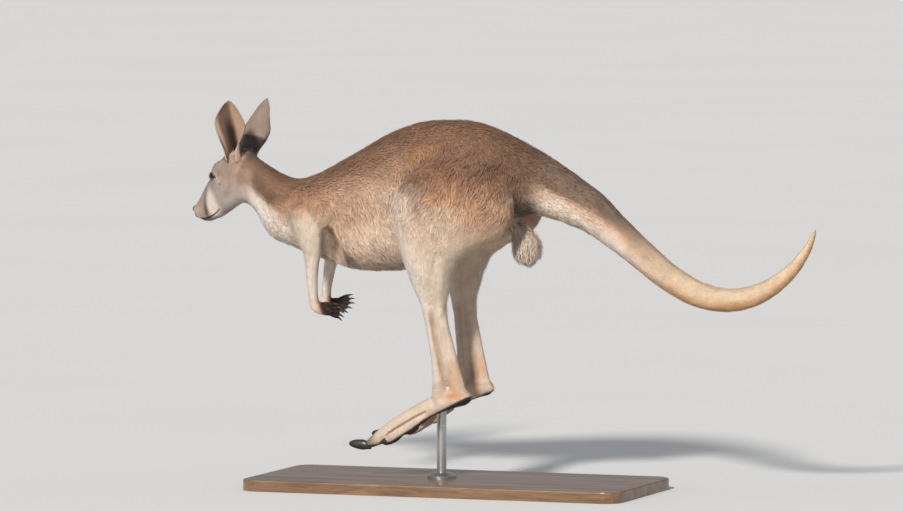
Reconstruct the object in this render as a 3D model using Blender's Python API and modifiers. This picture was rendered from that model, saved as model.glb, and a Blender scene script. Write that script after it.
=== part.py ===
"""A red kangaroo in mid leap: a life-size museum model, held over a flat base by one steel rod.

The animal faces -X with its left side towards -Y, and +Z is up. The origin is the centre of the
underside of the base. The flesh is modelled whole, as lofts and balls melted into one skin, and is then
parted with thin cuts into the pieces a person would name.
"""
import math

import bmesh
import bpy
import numpy as np
from mathutils import Matrix, Vector

# ---------------------------------------------------------------- general sizes, in metres
GAP = 0.0004                  # width of every flat cut, and clearance round every separate piece
ARCH_GAP = 0.0012             # width of the curved cuts that free the limbs
COARSE_VOXEL = 0.0060         # grain of the large forms while they are melted together
FINE_VOXEL = 0.0030           # grain of the whole animal
FLESH_FACES = 12000           # triangles of the whole animal before it is cut

# ---------------------------------------------------------------- stand
BASE_LENGTH = 1.04
BASE_WIDTH = 0.46
BASE_THICK = 0.030
BASE_CORNER = 0.045
BASE_EDGE = 0.004
ROD_RADIUS = 0.0125
ROD_X = -0.040
ROD_TOP = 0.640
COLLAR_RADIUS = 0.038
COLLAR_HEIGHT = 0.014

# ---------------------------------------------------------------- neck, trunk and tail
# x, z, lean of the section in degrees, half height, half width, egg (above 0 is wider below)
SPINE = (
    (-0.572, 0.803, 60.0, 0.0620, 0.048, 0.00),
    (-0.532, 0.781, 60.0, 0.0670, 0.053, 0.00),
    (-0.499, 0.747, 57.0, 0.0720, 0.060, 0.00),
    (-0.472, 0.731, 57.0, 0.0900, 0.073, 0.03),
    (-0.427, 0.725, 63.4, 0.1040, 0.089, -0.02),
    (-0.357, 0.722, 78.8, 0.1235, 0.104, -0.06),
    (-0.278, 0.727, 84.8, 0.1540, 0.118, 0.02),
    (-0.198, 0.745, 88.6, 0.1764, 0.127, 0.08),
    (-0.108, 0.767, 90.8, 0.1875, 0.127, 0.08),
    (-0.018, 0.790, 93.2, 0.1750, 0.122, 0.05),
    (0.069, 0.808, 95.1, 0.1540, 0.116, 0.05),
    (0.139, 0.812, 93.1, 0.1240, 0.101, 0.00),
    (0.204, 0.812, 88.3, 0.0890, 0.080, 0.00),
    (0.268, 0.786, 73.5, 0.0720, 0.064, 0.00),
    (0.331, 0.755, 64.7, 0.0605, 0.055, 0.00),
    (0.372, 0.733, 60.0, 0.0545, 0.050, 0.00),
    (0.438, 0.682, 52.0, 0.0442, 0.041, 0.00),
    (0.508, 0.626, 48.0, 0.0389, 0.036, 0.00),
    (0.580, 0.571, 51.0, 0.0365, 0.033, 0.00),
    (0.655, 0.530, 63.0, 0.0350, 0.031, 0.00),
    (0.740, 0.513, 83.0, 0.0320, 0.029, 0.00),
    (0.822, 0.530, 111.0, 0.0280, 0.025, 0.00),
    (0.896, 0.577, 132.0, 0.0221, 0.020, 0.00),
    (0.948, 0.636, 148.0, 0.0150, 0.014, 0.00),
    (0.975, 0.689, 154.0, 0.0085, 0.008, 0.00),
    (0.984, 0.713, 156.0, 0.0030, 0.003, 0.00),
)

# ---------------------------------------------------------------- hind leg (left; y is measured outwards)
# level slices: z, x, half length, y, half width
THIGH = (
    (0.898, 0.058, 0.034, 0.072, 0.012),
    (0.884, 0.054, 0.062, 0.080, 0.026),
    (0.864, 0.049, 0.098, 0.089, 0.041),
    (0.842, 0.045, 0.128, 0.096, 0.052),
    (0.809, 0.041, 0.153, 0.104, 0.060),
    (0.775, 0.038, 0.165, 0.110, 0.066),
    (0.740, 0.037, 0.1645, 0.115, 0.067),
    (0.712, 0.034, 0.1590, 0.118, 0.065),
    (0.689, 0.028, 0.1525, 0.120, 0.062),
    (0.663, 0.019, 0.1360, 0.121, 0.057),
    (0.634, -0.009, 0.1000, 0.121, 0.050),
    (0.608, -0.026, 0.0790, 0.120, 0.044),
    (0.578, -0.029, 0.0655, 0.119, 0.038),
    (0.548, -0.029, 0.0525, 0.116, 0.032),
    (0.523, -0.027, 0.0415, 0.113, 0.027),
    (0.500, -0.025, 0.0330, 0.110, 0.023),
)
SHIN = (
    (0.565, -0.056, 0.0340, 0.117, 0.028),
    (0.530, -0.050, 0.0250, 0.114, 0.025),
    (0.500, -0.042, 0.0200, 0.110, 0.0215),
    (0.451, -0.0315, 0.0180, 0.104, 0.0190),
    (0.398, -0.0250, 0.0172, 0.097, 0.0180),
    (0.340, -0.0180, 0.0178, 0.090, 0.0180),
    (0.288, -0.0155, 0.0195, 0.084, 0.0200),
    (0.258, -0.0150, 0.0225, 0.080, 0.0225),
    (0.226, -0.0160, 0.0215, 0.077, 0.0220),
)
HEEL_CORD = (
    (0.575, -0.004, 0.0360, 0.118, 0.026),
    (0.530, -0.007, 0.0280, 0.114, 0.021),
    (0.500, -0.007, 0.0205, 0.110, 0.0175),
    (0.451, -0.0030, 0.0180, 0.104, 0.0145),
    (0.398, 0.0085, 0.0180, 0.097, 0.0130),
    (0.340, 0.0200, 0.0195, 0.090, 0.0125),
    (0.288, 0.0300, 0.0225, 0.084, 0.0135),
    (0.264, 0.0350, 0.0245, 0.080, 0.0160),
    (0.242, 0.0420, 0.0200, 0.077, 0.0170),
)
# foot, heel to toe: x, z, lean, half height, y, half width
FOOT = (
    (0.066, 0.256, 120.0, 0.0130, 0.076, 0.012),
    (0.056, 0.254, 120.0, 0.0210, 0.076, 0.018),
    (0.015, 0.244, 117.0, 0.0265, 0.076, 0.022),
    (-0.031, 0.226, 116.0, 0.0250, 0.075, 0.023),
    (-0.069, 0.206, 116.0, 0.0245, 0.075, 0.021),
    (-0.112, 0.183, 115.0, 0.0235, 0.075, 0.019),
    (-0.155, 0.157, 113.0, 0.0215, 0.075, 0.0175),
    (-0.187, 0.136, 110.0, 0.0180, 0.075, 0.0160),
    (-0.208, 0.123, 107.0, 0.0140, 0.075, 0.0135),
    (-0.219, 0.117, 100.0, 0.0095, 0.075, 0.0095),
)
OUTER_TOE = (
    (-0.050, 0.199, 116.0, 0.0140, 0.090, 0.012),
    (-0.085, 0.180, 116.0, 0.0165, 0.095, 0.013),
    (-0.120, 0.158, 116.0, 0.0165, 0.099, 0.012),
    (-0.148, 0.140, 116.0, 0.0135, 0.100, 0.010),
    (-0.160, 0.133, 116.0, 0.0075, 0.100, 0.006),
)
TWIN_TOE = (
    (-0.050, 0.212, 116.0, 0.0110, 0.060, 0.010),
    (-0.090, 0.188, 116.0, 0.0110, 0.056, 0.0095),
    (-0.125, 0.165, 116.0, 0.0105, 0.053, 0.0095),
    (-0.146, 0.150, 116.0, 0.0060, 0.053, 0.0070),
)
SOLE_PADS = ((-0.148, 0.134, 0.078, 0.030, 0.019, 0.012), (-0.090, 0.163, 0.090, 0.024, 0.015, 0.012))
RIGHT_LEG_BACK = 0.010         # the right foot trails the left by this much
RIGHT_FOOT_SHIFT = (0.007, 0.014)  # back and up
# toe, root, way it points, length, radius, droop, flatness
FOOT_CLAWS = (
    ("4", (-0.208, 0.075, 0.1145), (-1.0, 0.0, 0.10), 0.064, 0.0128, 0.02, 0.70),
    ("5", (-0.152, 0.100, 0.136), (-1.0, 0.0, -0.40), 0.032, 0.0062, 0.10, 0.80),
    ("3", (-0.138, 0.0575, 0.154), (-1.0, 0.0, -0.45), 0.022, 0.0030, 0.10, 0.90),
    ("2", (-0.138, 0.0490, 0.154), (-1.0, 0.0, -0.45), 0.022, 0.0030, 0.10, 0.90),
)

# ---------------------------------------------------------------- scrotum: x, z, lean, half, y, half width
SCROTUM = (
    (0.118, 0.716, 34.0, 0.0150, 0.0, 0.0150),
    (0.150, 0.697, 36.0, 0.0160, 0.0, 0.0150),
    (0.172, 0.680, 38.0, 0.0190, 0.0, 0.0180),
    (0.186, 0.657, 32.0, 0.0310, 0.0, 0.0280),
    (0.195, 0.632, 24.0, 0.0360, 0.0, 0.0330),
    (0.200, 0.610, 16.0, 0.0280, 0.0, 0.0260),
    (0.202, 0.598, 12.0, 0.0120, 0.0, 0.0120),
)

# ---------------------------------------------------------------- arm (left; y is measured outwards)
ARM = (
    (0.745, -0.400, 0.0260, 0.072, 0.020),
    (0.722, -0.396, 0.0380, 0.079, 0.028),
    (0.690, -0.386, 0.0400, 0.086, 0.031),
    (0.655, -0.375, 0.0360, 0.090, 0.029),
    (0.627, -0.367, 0.0285, 0.092, 0.0250),
    (0.600, -0.366, 0.0212, 0.091, 0.0205),
    (0.570, -0.368, 0.0172, 0.087, 0.0170),
    (0.540, -0.369, 0.0150, 0.082, 0.0145),
    (0.500, -0.369, 0.0130, 0.075, 0.0130),
    (0.478, -0.366, 0.0135, 0.071, 0.0140),
    (0.466, -0.361, 0.0100, 0.070, 0.0125),
)
RIGHT_WRIST_FORWARD = 0.024
# the hollow behind each upper arm: middle, radii and lean
ARMPIT = ((-0.310, 0.102, 0.598), (0.031, 0.066, 0.096), -12.0)
# palm, wrist to knuckles: x, z, lean, half thickness, y, half width
PALM = (
    (-0.372, 0.479, 55.0, 0.0110, 0.070, 0.0125),
    (-0.361, 0.472, 72.0, 0.0140, 0.070, 0.0150),
    (-0.344, 0.469, 92.0, 0.0175, 0.069, 0.0165),
    (-0.328, 0.469, 98.0, 0.0180, 0.069, 0.0165),
    (-0.318, 0.469, 98.0, 0.0110, 0.069, 0.0120),
)
FINGER_SPREAD = (-34.0, -17.0, 0.0, 17.0, 34.0)
FINGER_LENGTH = (0.022, 0.028, 0.031, 0.028, 0.022)
FINGER_RADIUS = 0.0060
FINGER_FAN = 0.0150                # how far the outer fingers' roots lie from the middle one
HAND_ROLL = 48.0                   # the fan of fingers is rolled this far, thumb up
FINGER_RISE = (-0.14, 0.16)        # left hand, right hand
FINGER_CLAW = 0.014
FINGER_CLAW_RADIUS = 0.0026

# ---------------------------------------------------------------- head, in its own upright plane
# The head is turned to the animal's right. u runs forwards from between the ears, z is world height.
HEAD_X = -0.597
HEAD_TURN = 16.0
# top u, top z, bottom u, bottom z, half width, egg
SKULL = (
    (-0.052, 0.862, -0.066, 0.806, 0.034, 0.00),
    (-0.036, 0.874, -0.056, 0.780, 0.043, 0.00),
    (-0.010, 0.881, -0.040, 0.758, 0.048, 0.00),
    (0.020, 0.877, -0.018, 0.742, 0.050, 0.00),
    (0.045, 0.863, 0.008, 0.732, 0.050, 0.02),
    (0.066, 0.842, 0.034, 0.717, 0.046, 0.04),
    (0.083, 0.818, 0.056, 0.703, 0.039, 0.06),
    (0.100, 0.792, 0.078, 0.691, 0.0325, 0.06),
    (0.118, 0.765, 0.097, 0.681, 0.0275, 0.05),
    (0.134, 0.743, 0.113, 0.679, 0.0245, 0.03),
    (0.147, 0.728, 0.128, 0.682, 0.0215, 0.00),
    (0.155, 0.716, 0.142, 0.691, 0.0145, 0.00),
)
# u, across, z of the middle, then the radii along u, across and z
CHEEK = (0.022, 0.030, 0.785, 0.040, 0.022, 0.032)
BROW = (0.060, 0.030, 0.825, 0.026, 0.014, 0.012)
EYE = (0.069, 0.0285, 0.806)
EYE_RADIUS = 0.0155
NOSE = (0.1505, 0.7140)
NOSE_SIZE = (0.0075, 0.0135, 0.0100)

# ---------------------------------------------------------------- ear, in its own upright frame
# each ear: foot (u, across, z), length, lean out, lean back, turn out, bend
EAR_LEFT = ((0.000, 0.0347, 0.8511), 0.166, 19.5, 9.7, 99.5, -0.0081)
EAR_RIGHT = ((0.0103, 0.0281, 0.8469), 0.172, 23.6, 7.0, 99.2, -0.0043)
EAR_THICK = 0.0030
# height along the ear, half width, depth of the cup, half angle the wall wraps round
EAR_LEFT_ROWS = (
    (0.000, 0.0231, 0.0178, 150.0),
    (0.200, 0.0244, 0.0191, 136.0),
    (0.400, 0.0333, 0.0208, 110.0),
    (0.520, 0.0408, 0.0212, 96.0),
    (0.640, 0.0443, 0.0200, 87.0),
    (0.780, 0.0350, 0.0153, 80.0),
    (0.860, 0.0265, 0.0110, 76.0),
    (0.940, 0.0167, 0.0064, 70.0),
    (1.000, 0.0045, 0.0020, 62.0),
)
EAR_RIGHT_ROWS = (
    (0.000, 0.0222, 0.0170, 150.0),
    (0.200, 0.0276, 0.0184, 136.0),
    (0.400, 0.0405, 0.0200, 110.0),
    (0.520, 0.0438, 0.0203, 96.0),
    (0.640, 0.0360, 0.0190, 87.0),
    (0.780, 0.0262, 0.0146, 80.0),
    (0.860, 0.0212, 0.0105, 76.0),
    (0.940, 0.0125, 0.0061, 70.0),
    (1.000, 0.0040, 0.0020, 62.0),
)

# ---------------------------------------------------------------- where the limbs are cut from the trunk
THIGH_ARCH = (
    (-0.104, 0.545), (-0.127, 0.650), (-0.136, 0.720), (-0.133, 0.790), (-0.090, 0.852),
    (-0.020, 0.893), (0.060, 0.905), (0.135, 0.886), (0.190, 0.838), (0.214, 0.770),
    (0.198, 0.690), (0.130, 0.620), (0.092, 0.545),
)
THIGH_WALL = 0.070
SHOULDER_ARCH = (
    (-0.436, 0.588), (-0.442, 0.660), (-0.436, 0.725), (-0.398, 0.760), (-0.358, 0.738),
    (-0.338, 0.670), (-0.332, 0.588),
)
SHOULDER_WALL = 0.058

# centre, turn about Y, width and height of each thin cut through the head, neck, trunk and tail
MIDDLE_CUTS = (
    ((-0.563, 0.0, 0.800), 14.0, (0.30, 0.24)),
    ((-0.472, 0.0, 0.731), 33.0, (0.40, 0.30)),
    ((0.236, 0.0, 0.800), 10.0, (0.30, 0.26)),
    ((0.425, 0.0, 0.692), 38.0, (0.20, 0.20)),
    ((0.655, 0.0, 0.530), 27.0, (0.16, 0.16)),
    ((0.860, 0.0, 0.552), -31.0, (0.12, 0.12)),
    ((0.160, 0.0, 0.690), 54.0, (0.09, 0.09)),
)
MIDDLE_NAMES = {
    "head": (-0.65, 0.02, 0.78),
    "neck": (-0.52, 0.0, 0.75),
    "trunk": (-0.12, 0.0, 0.77),
    "scrotum": (0.19, 0.0, 0.64),
    "tail_root": (0.33, 0.0, 0.75),
    "tail_upper": (0.54, 0.0, 0.60),
    "tail_lower": (0.76, 0.0, 0.53),
    "tail_tip": (0.92, 0.0, 0.63),
}

# triangles left on each piece of flesh
FACES = {
    "head": 1120, "neck": 170, "trunk": 850, "scrotum": 110,
    "tail_root": 170, "tail_upper": 160, "tail_lower": 160, "tail_tip": 120,
    "thigh": 330, "shank": 310, "foot": 440, "upper_arm": 120, "forearm": 96, "hand": 240,
}


# ================================================================ tools
def clear_scene():
    for thing in list(bpy.data.objects):
        bpy.data.objects.remove(thing, do_unlink=True)


def make_material(name, colour, roughness, metallic=0.0):
    material = bpy.data.materials.new(name)
    material.use_nodes = True
    shader = material.node_tree.nodes["Principled BSDF"]
    shader.inputs["Base Color"].default_value = (*colour, 1.0)
    shader.inputs["Roughness"].default_value = roughness
    shader.inputs["Metallic"].default_value = metallic
    return material


def new_collection(name):
    collection = bpy.data.collections.new(name)
    bpy.context.scene.collection.children.link(collection)
    return collection


def mesh_object(name, work, collection):
    bmesh.ops.recalc_face_normals(work, faces=work.faces)
    mesh = bpy.data.meshes.new(name)
    work.to_mesh(mesh)
    work.free()
    made = bpy.data.objects.new(name, mesh)
    collection.objects.link(made)
    return made


def fill_in(rows, count):
    """Evenly spaced rows on a smooth curve through the given ones (the first two columns are a path)."""
    rows = np.array(rows, dtype=float)
    steps = np.linalg.norm(np.diff(rows[:, :2], axis=0), axis=1)
    at = np.concatenate(([0.0], np.cumsum(steps)))
    slope = np.gradient(rows, at, axis=0)
    made = []
    for s in np.linspace(0.0, at[-1], count):
        i = min(int(np.searchsorted(at, s, side="right")) - 1, len(at) - 2)
        span = at[i + 1] - at[i]
        t = (s - at[i]) / span
        made.append(
            rows[i] * (2 * t**3 - 3 * t**2 + 1) + slope[i] * span * (t**3 - 2 * t**2 + t)
            + rows[i + 1] * (3 * t**2 - 2 * t**3) + slope[i + 1] * span * (t**3 - t**2)
        )
    return made


def loft(work, sections, sides):
    """Skin over a run of oval sections: (centre, tall direction, wide direction, egg)."""
    rings = []
    for centre, tall, wide, egg in sections:
        ring = []
        for k in range(sides):
            turn = 2.0 * math.pi * k / sides
            across = math.cos(turn) * (1.0 - egg * math.sin(turn))
            ring.append(work.verts.new(centre + tall * math.sin(turn) + wide * across))
        rings.append(ring)
    for low, high in zip(rings, rings[1:]):
        for k in range(sides):
            follow = (k + 1) % sides
            work.faces.new((low[k], low[follow], high[follow], high[k]))
    work.faces.new(rings[0])
    work.faces.new(rings[-1])


def leaning(x, y, z, lean, half_tall, half_wide, egg=0.0):
    lean = math.radians(lean)
    tall = Vector((math.cos(lean), 0.0, math.sin(lean))) * half_tall
    return Vector((x, y, z)), tall, Vector((0.0, half_wide, 0.0)), egg


def melt(pieces, voxel, soften, name, collection):
    """Joins overlapping closed pieces into one skin and softens the creases between them."""
    work = bmesh.new()
    for piece in pieces:
        work.from_mesh(piece.data)
        bpy.data.objects.remove(piece, do_unlink=True)
    whole = mesh_object(name, work, collection)
    remesh = whole.modifiers.new("melt", "REMESH")
    remesh.mode = "VOXEL"
    remesh.voxel_size = voxel
    smooth = whole.modifiers.new("soften", "SMOOTH")
    smooth.factor = 0.5
    smooth.iterations = soften
    return apply_all(whole)


def apply_all(thing):
    """Replaces an object's mesh by what its modifiers make of it."""
    seen = thing.evaluated_get(bpy.context.evaluated_depsgraph_get())
    mesh = bpy.data.meshes.new_from_object(seen)
    thing.modifiers.clear()
    thing.data = mesh
    return thing


def boolean(thing, other, operation):
    step = thing.modifiers.new("cut", "BOOLEAN")
    step.operation = operation
    step.solver = "EXACT"
    step.object = other
    return apply_all(thing)


def grown(thing, by, collection):
    """A copy pushed outwards along its normals."""
    work = bmesh.new()
    work.from_mesh(thing.data)
    bmesh.ops.recalc_face_normals(work, faces=work.faces)
    work.normal_update()
    moves = [(vertex, vertex.normal.copy()) for vertex in work.verts]
    for vertex, normal in moves:
        vertex.co += normal * by
    return mesh_object(thing.name + "_grown", work, collection)


def loose_parts(thing, collection):
    """Splits an object into one object for each closed shell."""
    source = bmesh.new()
    source.from_mesh(thing.data)
    bmesh.ops.remove_doubles(source, verts=source.verts, dist=0.000002)
    left = set(source.verts)
    parts = []
    while left:
        start = left.pop()
        shell = {start}
        todo = [start]
        while todo:
            for edge in todo.pop().link_edges:
                for vertex in edge.verts:
                    if vertex not in shell:
                        shell.add(vertex)
                        todo.append(vertex)
        left -= shell
        work = bmesh.new()
        copies = {vertex: work.verts.new(vertex.co) for vertex in shell}
        for face in {face for vertex in shell for face in vertex.link_faces}:
            work.faces.new([copies[vertex] for vertex in face.verts])
        if len(work.faces) > 3:
            parts.append(mesh_object("part", work, collection))
        else:
            work.free()
    source.free()
    bpy.data.objects.remove(thing, do_unlink=True)
    return parts


def middle_of(thing):
    corners = np.array([tuple(vertex.co) for vertex in thing.data.vertices])
    return (corners.min(axis=0) + corners.max(axis=0)) / 2.0


def part_with(thing, cutters, names, collection):
    """Cuts a piece apart; names gives a point near the middle of each part."""
    for cutter in cutters:
        thing = boolean(thing, cutter, "DIFFERENCE")
        bpy.data.objects.remove(cutter, do_unlink=True)
    made = {}
    for part in loose_parts(thing, collection):
        middle = middle_of(part)
        name = min(names, key=lambda n: np.linalg.norm(np.array(names[n]) - middle))
        if name in made and len(made[name].data.vertices) > len(part.data.vertices):
            bpy.data.objects.remove(part, do_unlink=True)
            continue
        if name in made:
            bpy.data.objects.remove(made[name], do_unlink=True)
        made[name] = part
    for name, part in made.items():
        part.name = name
        part.data.name = name
    return made


def plate(centre, turn, size, collection, turn_about="Y"):
    """A thin square cutter whose normal is +X turned by an angle about Y."""
    work = bmesh.new()
    bmesh.ops.create_cube(work, size=1.0)
    bmesh.ops.scale(work, vec=(GAP, size[0], size[1]), verts=work.verts)
    bmesh.ops.rotate(work, cent=(0, 0, 0), matrix=Matrix.Rotation(math.radians(turn), 3, turn_about),
                     verts=work.verts)
    bmesh.ops.translate(work, vec=centre, verts=work.verts)
    return mesh_object("plate", work, collection)


def arch_cutter(outline, wall, reach, side, collection):
    """A thin cup, open below and outwards, that frees a limb from the trunk."""
    rows = outline
    work = bmesh.new()
    near = [work.verts.new((row[0], side * wall, row[1])) for row in rows]
    far = [work.verts.new((row[0], side * reach, row[1])) for row in rows]
    for i in range(len(rows) - 1):
        work.faces.new((near[i], near[i + 1], far[i + 1], far[i]))
    work.faces.new(near)
    cup = mesh_object("cup", work, collection)
    solid = cup.modifiers.new("solid", "SOLIDIFY")
    solid.thickness = ARCH_GAP
    solid.offset = 0.0
    return apply_all(cup)


def thin_out(thing, faces):
    work = bmesh.new()
    work.from_mesh(thing.data)
    bmesh.ops.triangulate(work, faces=work.faces)
    now = len(work.faces)
    work.to_mesh(thing.data)
    work.free()
    step = thing.modifiers.new("thin", "DECIMATE")
    step.ratio = min(1.0, faces / now)
    return apply_all(thing)


# ================================================================ flesh
def spine_form(collection):
    work = bmesh.new()
    sections = [leaning(row[0], 0.0, row[1], *row[2:]) for row in fill_in(SPINE, 90)]
    loft(work, sections, 32)
    return mesh_object("spine", work, collection)


def level_form(rows, side, collection, shift=(0.0, 0.0), lift=0.0):
    """A limb of level slices; shift moves its upper and lower ends along X, lift raises the lower."""
    work = bmesh.new()
    top = rows[0][0]
    bottom = rows[-1][0]
    sections = []
    for z, x, half_long, y, half_wide in fill_in(rows, 4 * len(rows)):
        down = (top - z) / (top - bottom)
        x += shift[0] * (1.0 - down) + shift[1] * down
        sections.append(leaning(x, side * y, z + lift * down, 180.0, half_long, half_wide))
    loft(work, sections, 24)
    return mesh_object("limb", work, collection)


def long_form(rows, side, collection, shift=(0.0, 0.0), sides=20):
    """A limb of leaning slices; shift moves the whole of it along X and Z."""
    work = bmesh.new()
    sections = []
    for x, z, lean, half_tall, y, half_wide in fill_in(rows, 4 * len(rows)):
        sections.append(leaning(x + shift[0], side * y, z + shift[1], lean, half_tall, half_wide))
    loft(work, sections, sides)
    return mesh_object("long", work, collection)


def ball(centre, radii, collection, turn=0.0):
    work = bmesh.new()
    bmesh.ops.create_uvsphere(work, u_segments=24, v_segments=14, radius=1.0)
    bmesh.ops.scale(work, vec=radii, verts=work.verts)
    bmesh.ops.rotate(work, cent=(0, 0, 0), matrix=Matrix.Rotation(math.radians(turn), 3, "Y"),
                     verts=work.verts)
    bmesh.ops.translate(work, vec=centre, verts=work.verts)
    return mesh_object("ball", work, collection)


def head_place(u, across, z):
    """A point of the head's own frame: u forwards, across to the animal's right, z up."""
    turn = math.radians(HEAD_TURN)
    forward = Vector((-math.cos(turn), math.sin(turn), 0.0))
    right = Vector((math.sin(turn), math.cos(turn), 0.0))
    return Vector((HEAD_X, 0.0, z)) + forward * u + right * across


def skull_form(collection):
    work = bmesh.new()
    sections = []
    for top_u, top_z, low_u, low_z, half_wide, egg in fill_in(SKULL, 48):
        high = head_place(top_u, 0.0, top_z)
        low = head_place(low_u, 0.0, low_z)
        wide = head_place(0.0, half_wide, 0.0) - head_place(0.0, 0.0, 0.0)
        sections.append(((high + low) / 2.0, (high - low) / 2.0, wide, egg))
    loft(work, sections, 32)
    return mesh_object("skull", work, collection)


def head_ball(name, place, radii, pitch, collection, segments=14):
    """An oval whose middle is (u, across, z) and whose radii run along u, across and z."""
    work = bmesh.new()
    bmesh.ops.create_uvsphere(work, u_segments=segments, v_segments=segments * 3 // 5, radius=1.0)
    bmesh.ops.scale(work, vec=radii, verts=work.verts)
    tilt = Matrix.Rotation(math.radians(-pitch), 3, "Y")
    turn = Matrix.Rotation(math.radians(-HEAD_TURN), 3, "Z")
    bmesh.ops.rotate(work, cent=(0, 0, 0), matrix=turn @ tilt, verts=work.verts)
    bmesh.ops.translate(work, vec=head_place(*place), verts=work.verts)
    return mesh_object(name, work, collection)


def finger_lines(side, shift):
    """Where each finger starts and ends, and the way it points, thumb first."""
    lines = []
    for spread, length in zip(FINGER_SPREAD, FINGER_LENGTH):
        turn = math.radians(spread) * -side
        fan = FINGER_FAN * math.sin(turn) / math.sin(math.radians(FINGER_SPREAD[-1]))
        level, upright = math.cos(math.radians(HAND_ROLL)), side * math.sin(math.radians(HAND_ROLL))
        start = Vector((-0.335 + shift, side * PALM[3][4] + fan * level, PALM[3][1] + fan * upright))
        rise = FINGER_RISE[1] if side > 0.0 else FINGER_RISE[0]
        lean = math.sin(turn) * 0.6
        way = Vector((math.cos(turn), lean * level, rise + lean * upright)).normalized()
        lines.append((start, start + way * (length + 0.010), way))
    return lines


def digit(start, end, radius, collection):
    """A rounded digit."""
    way = (end - start).normalized()
    wide = way.cross(Vector((0.0, 0.0, 1.0))).normalized()
    tall = wide.cross(way)
    sections = []
    for t, scale in ((0.0, 0.6), (0.12, 1.0), (0.5, 1.0), (0.84, 0.95), (0.95, 0.70), (1.0, 0.3)):
        size = radius * scale
        sections.append((start.lerp(end, t), tall * size, wide * size, 0.0))
    work = bmesh.new()
    loft(work, sections, 12)
    return mesh_object("digit", work, collection)


def claw(name, start, way, length, radius, droop, flat, collection, sides=7, rings=5):
    """A curved, pointed claw; droop bends it down and flat narrows it from side to side."""
    way = Vector(way).normalized()
    wide = way.cross(Vector((0.0, 0.0, 1.0))).normalized()
    tall = wide.cross(way)
    sections = []
    for i in range(rings):
        t = i / (rings - 1)
        size = radius * (1.0 - 0.92 * t**1.5)
        centre = Vector(start) + way * length * t - tall * droop * length * t * t
        sections.append((centre, tall * size, wide * size * flat, 0.0))
    work = bmesh.new()
    loft(work, sections, sides)
    return mesh_object(name, work, collection)


def ear(name, side, collection):
    """A leaf-shaped cup, rolled into a tube at its foot, opening forwards and outwards."""
    foot, length, lean_out, lean_back, turn_out, bend_most = EAR_RIGHT if side > 0.0 else EAR_LEFT
    table = EAR_RIGHT_ROWS if side > 0.0 else EAR_LEFT_ROWS
    rows = fill_in([(row[0], 0.0, *row[1:]) for row in table], 9)
    across = 7
    work = bmesh.new()
    grid = []
    for height, _, half_wide, depth, wrap in rows:
        line = []
        for k in range(across + 1):
            angle = math.radians(wrap) * (2.0 * k / across - 1.0)
            bend = bend_most * math.sin(math.pi * height)
            line.append(work.verts.new((half_wide * math.sin(angle), depth * math.cos(angle) + bend,
                                        length * height)))
        grid.append(line)
    for low, high in zip(grid, grid[1:]):
        for k in range(across):
            work.faces.new((low[k], low[k + 1], high[k + 1], high[k]))
    # the cup opens along -Y here: face it forwards, then turn and lean it outwards
    spin = Matrix.Rotation(math.radians(-90.0 - side * turn_out), 3, "Z")
    lean = Matrix.Rotation(math.radians(-side * lean_out), 3, "X")
    back = Matrix.Rotation(math.radians(lean_back), 3, "Y")
    turn = Matrix.Rotation(math.radians(-HEAD_TURN), 3, "Z")
    bmesh.ops.rotate(work, cent=(0, 0, 0), matrix=turn @ back @ lean @ spin, verts=work.verts)
    u, across_foot, z = foot
    bmesh.ops.translate(work, vec=head_place(u, side * across_foot, z), verts=work.verts)
    made = mesh_object(name, work, collection)
    solid = made.modifiers.new("solid", "SOLIDIFY")
    solid.thickness = EAR_THICK
    solid.offset = 0.0
    return apply_all(made)


def foot_claws(name, side, shift, collection):
    made = []
    for toe, start, way, length, radius, droop, flat in FOOT_CLAWS:
        place = (start[0] + shift[0], side * start[1], start[2] + shift[1])
        made.append(claw(f"{name}_{toe}", place, way, length, radius, droop, flat, collection))
    return made


def hollow(piece, insert, scratch):
    """Makes room in a piece for a separate solid set into it."""
    room = grown(insert, GAP, scratch)
    made = boolean(piece, room, "DIFFERENCE")
    bpy.data.objects.remove(room, do_unlink=True)
    return part_with(made, [], {"kept": (0.0, 0.0, 0.0)}, scratch)["kept"]


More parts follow.
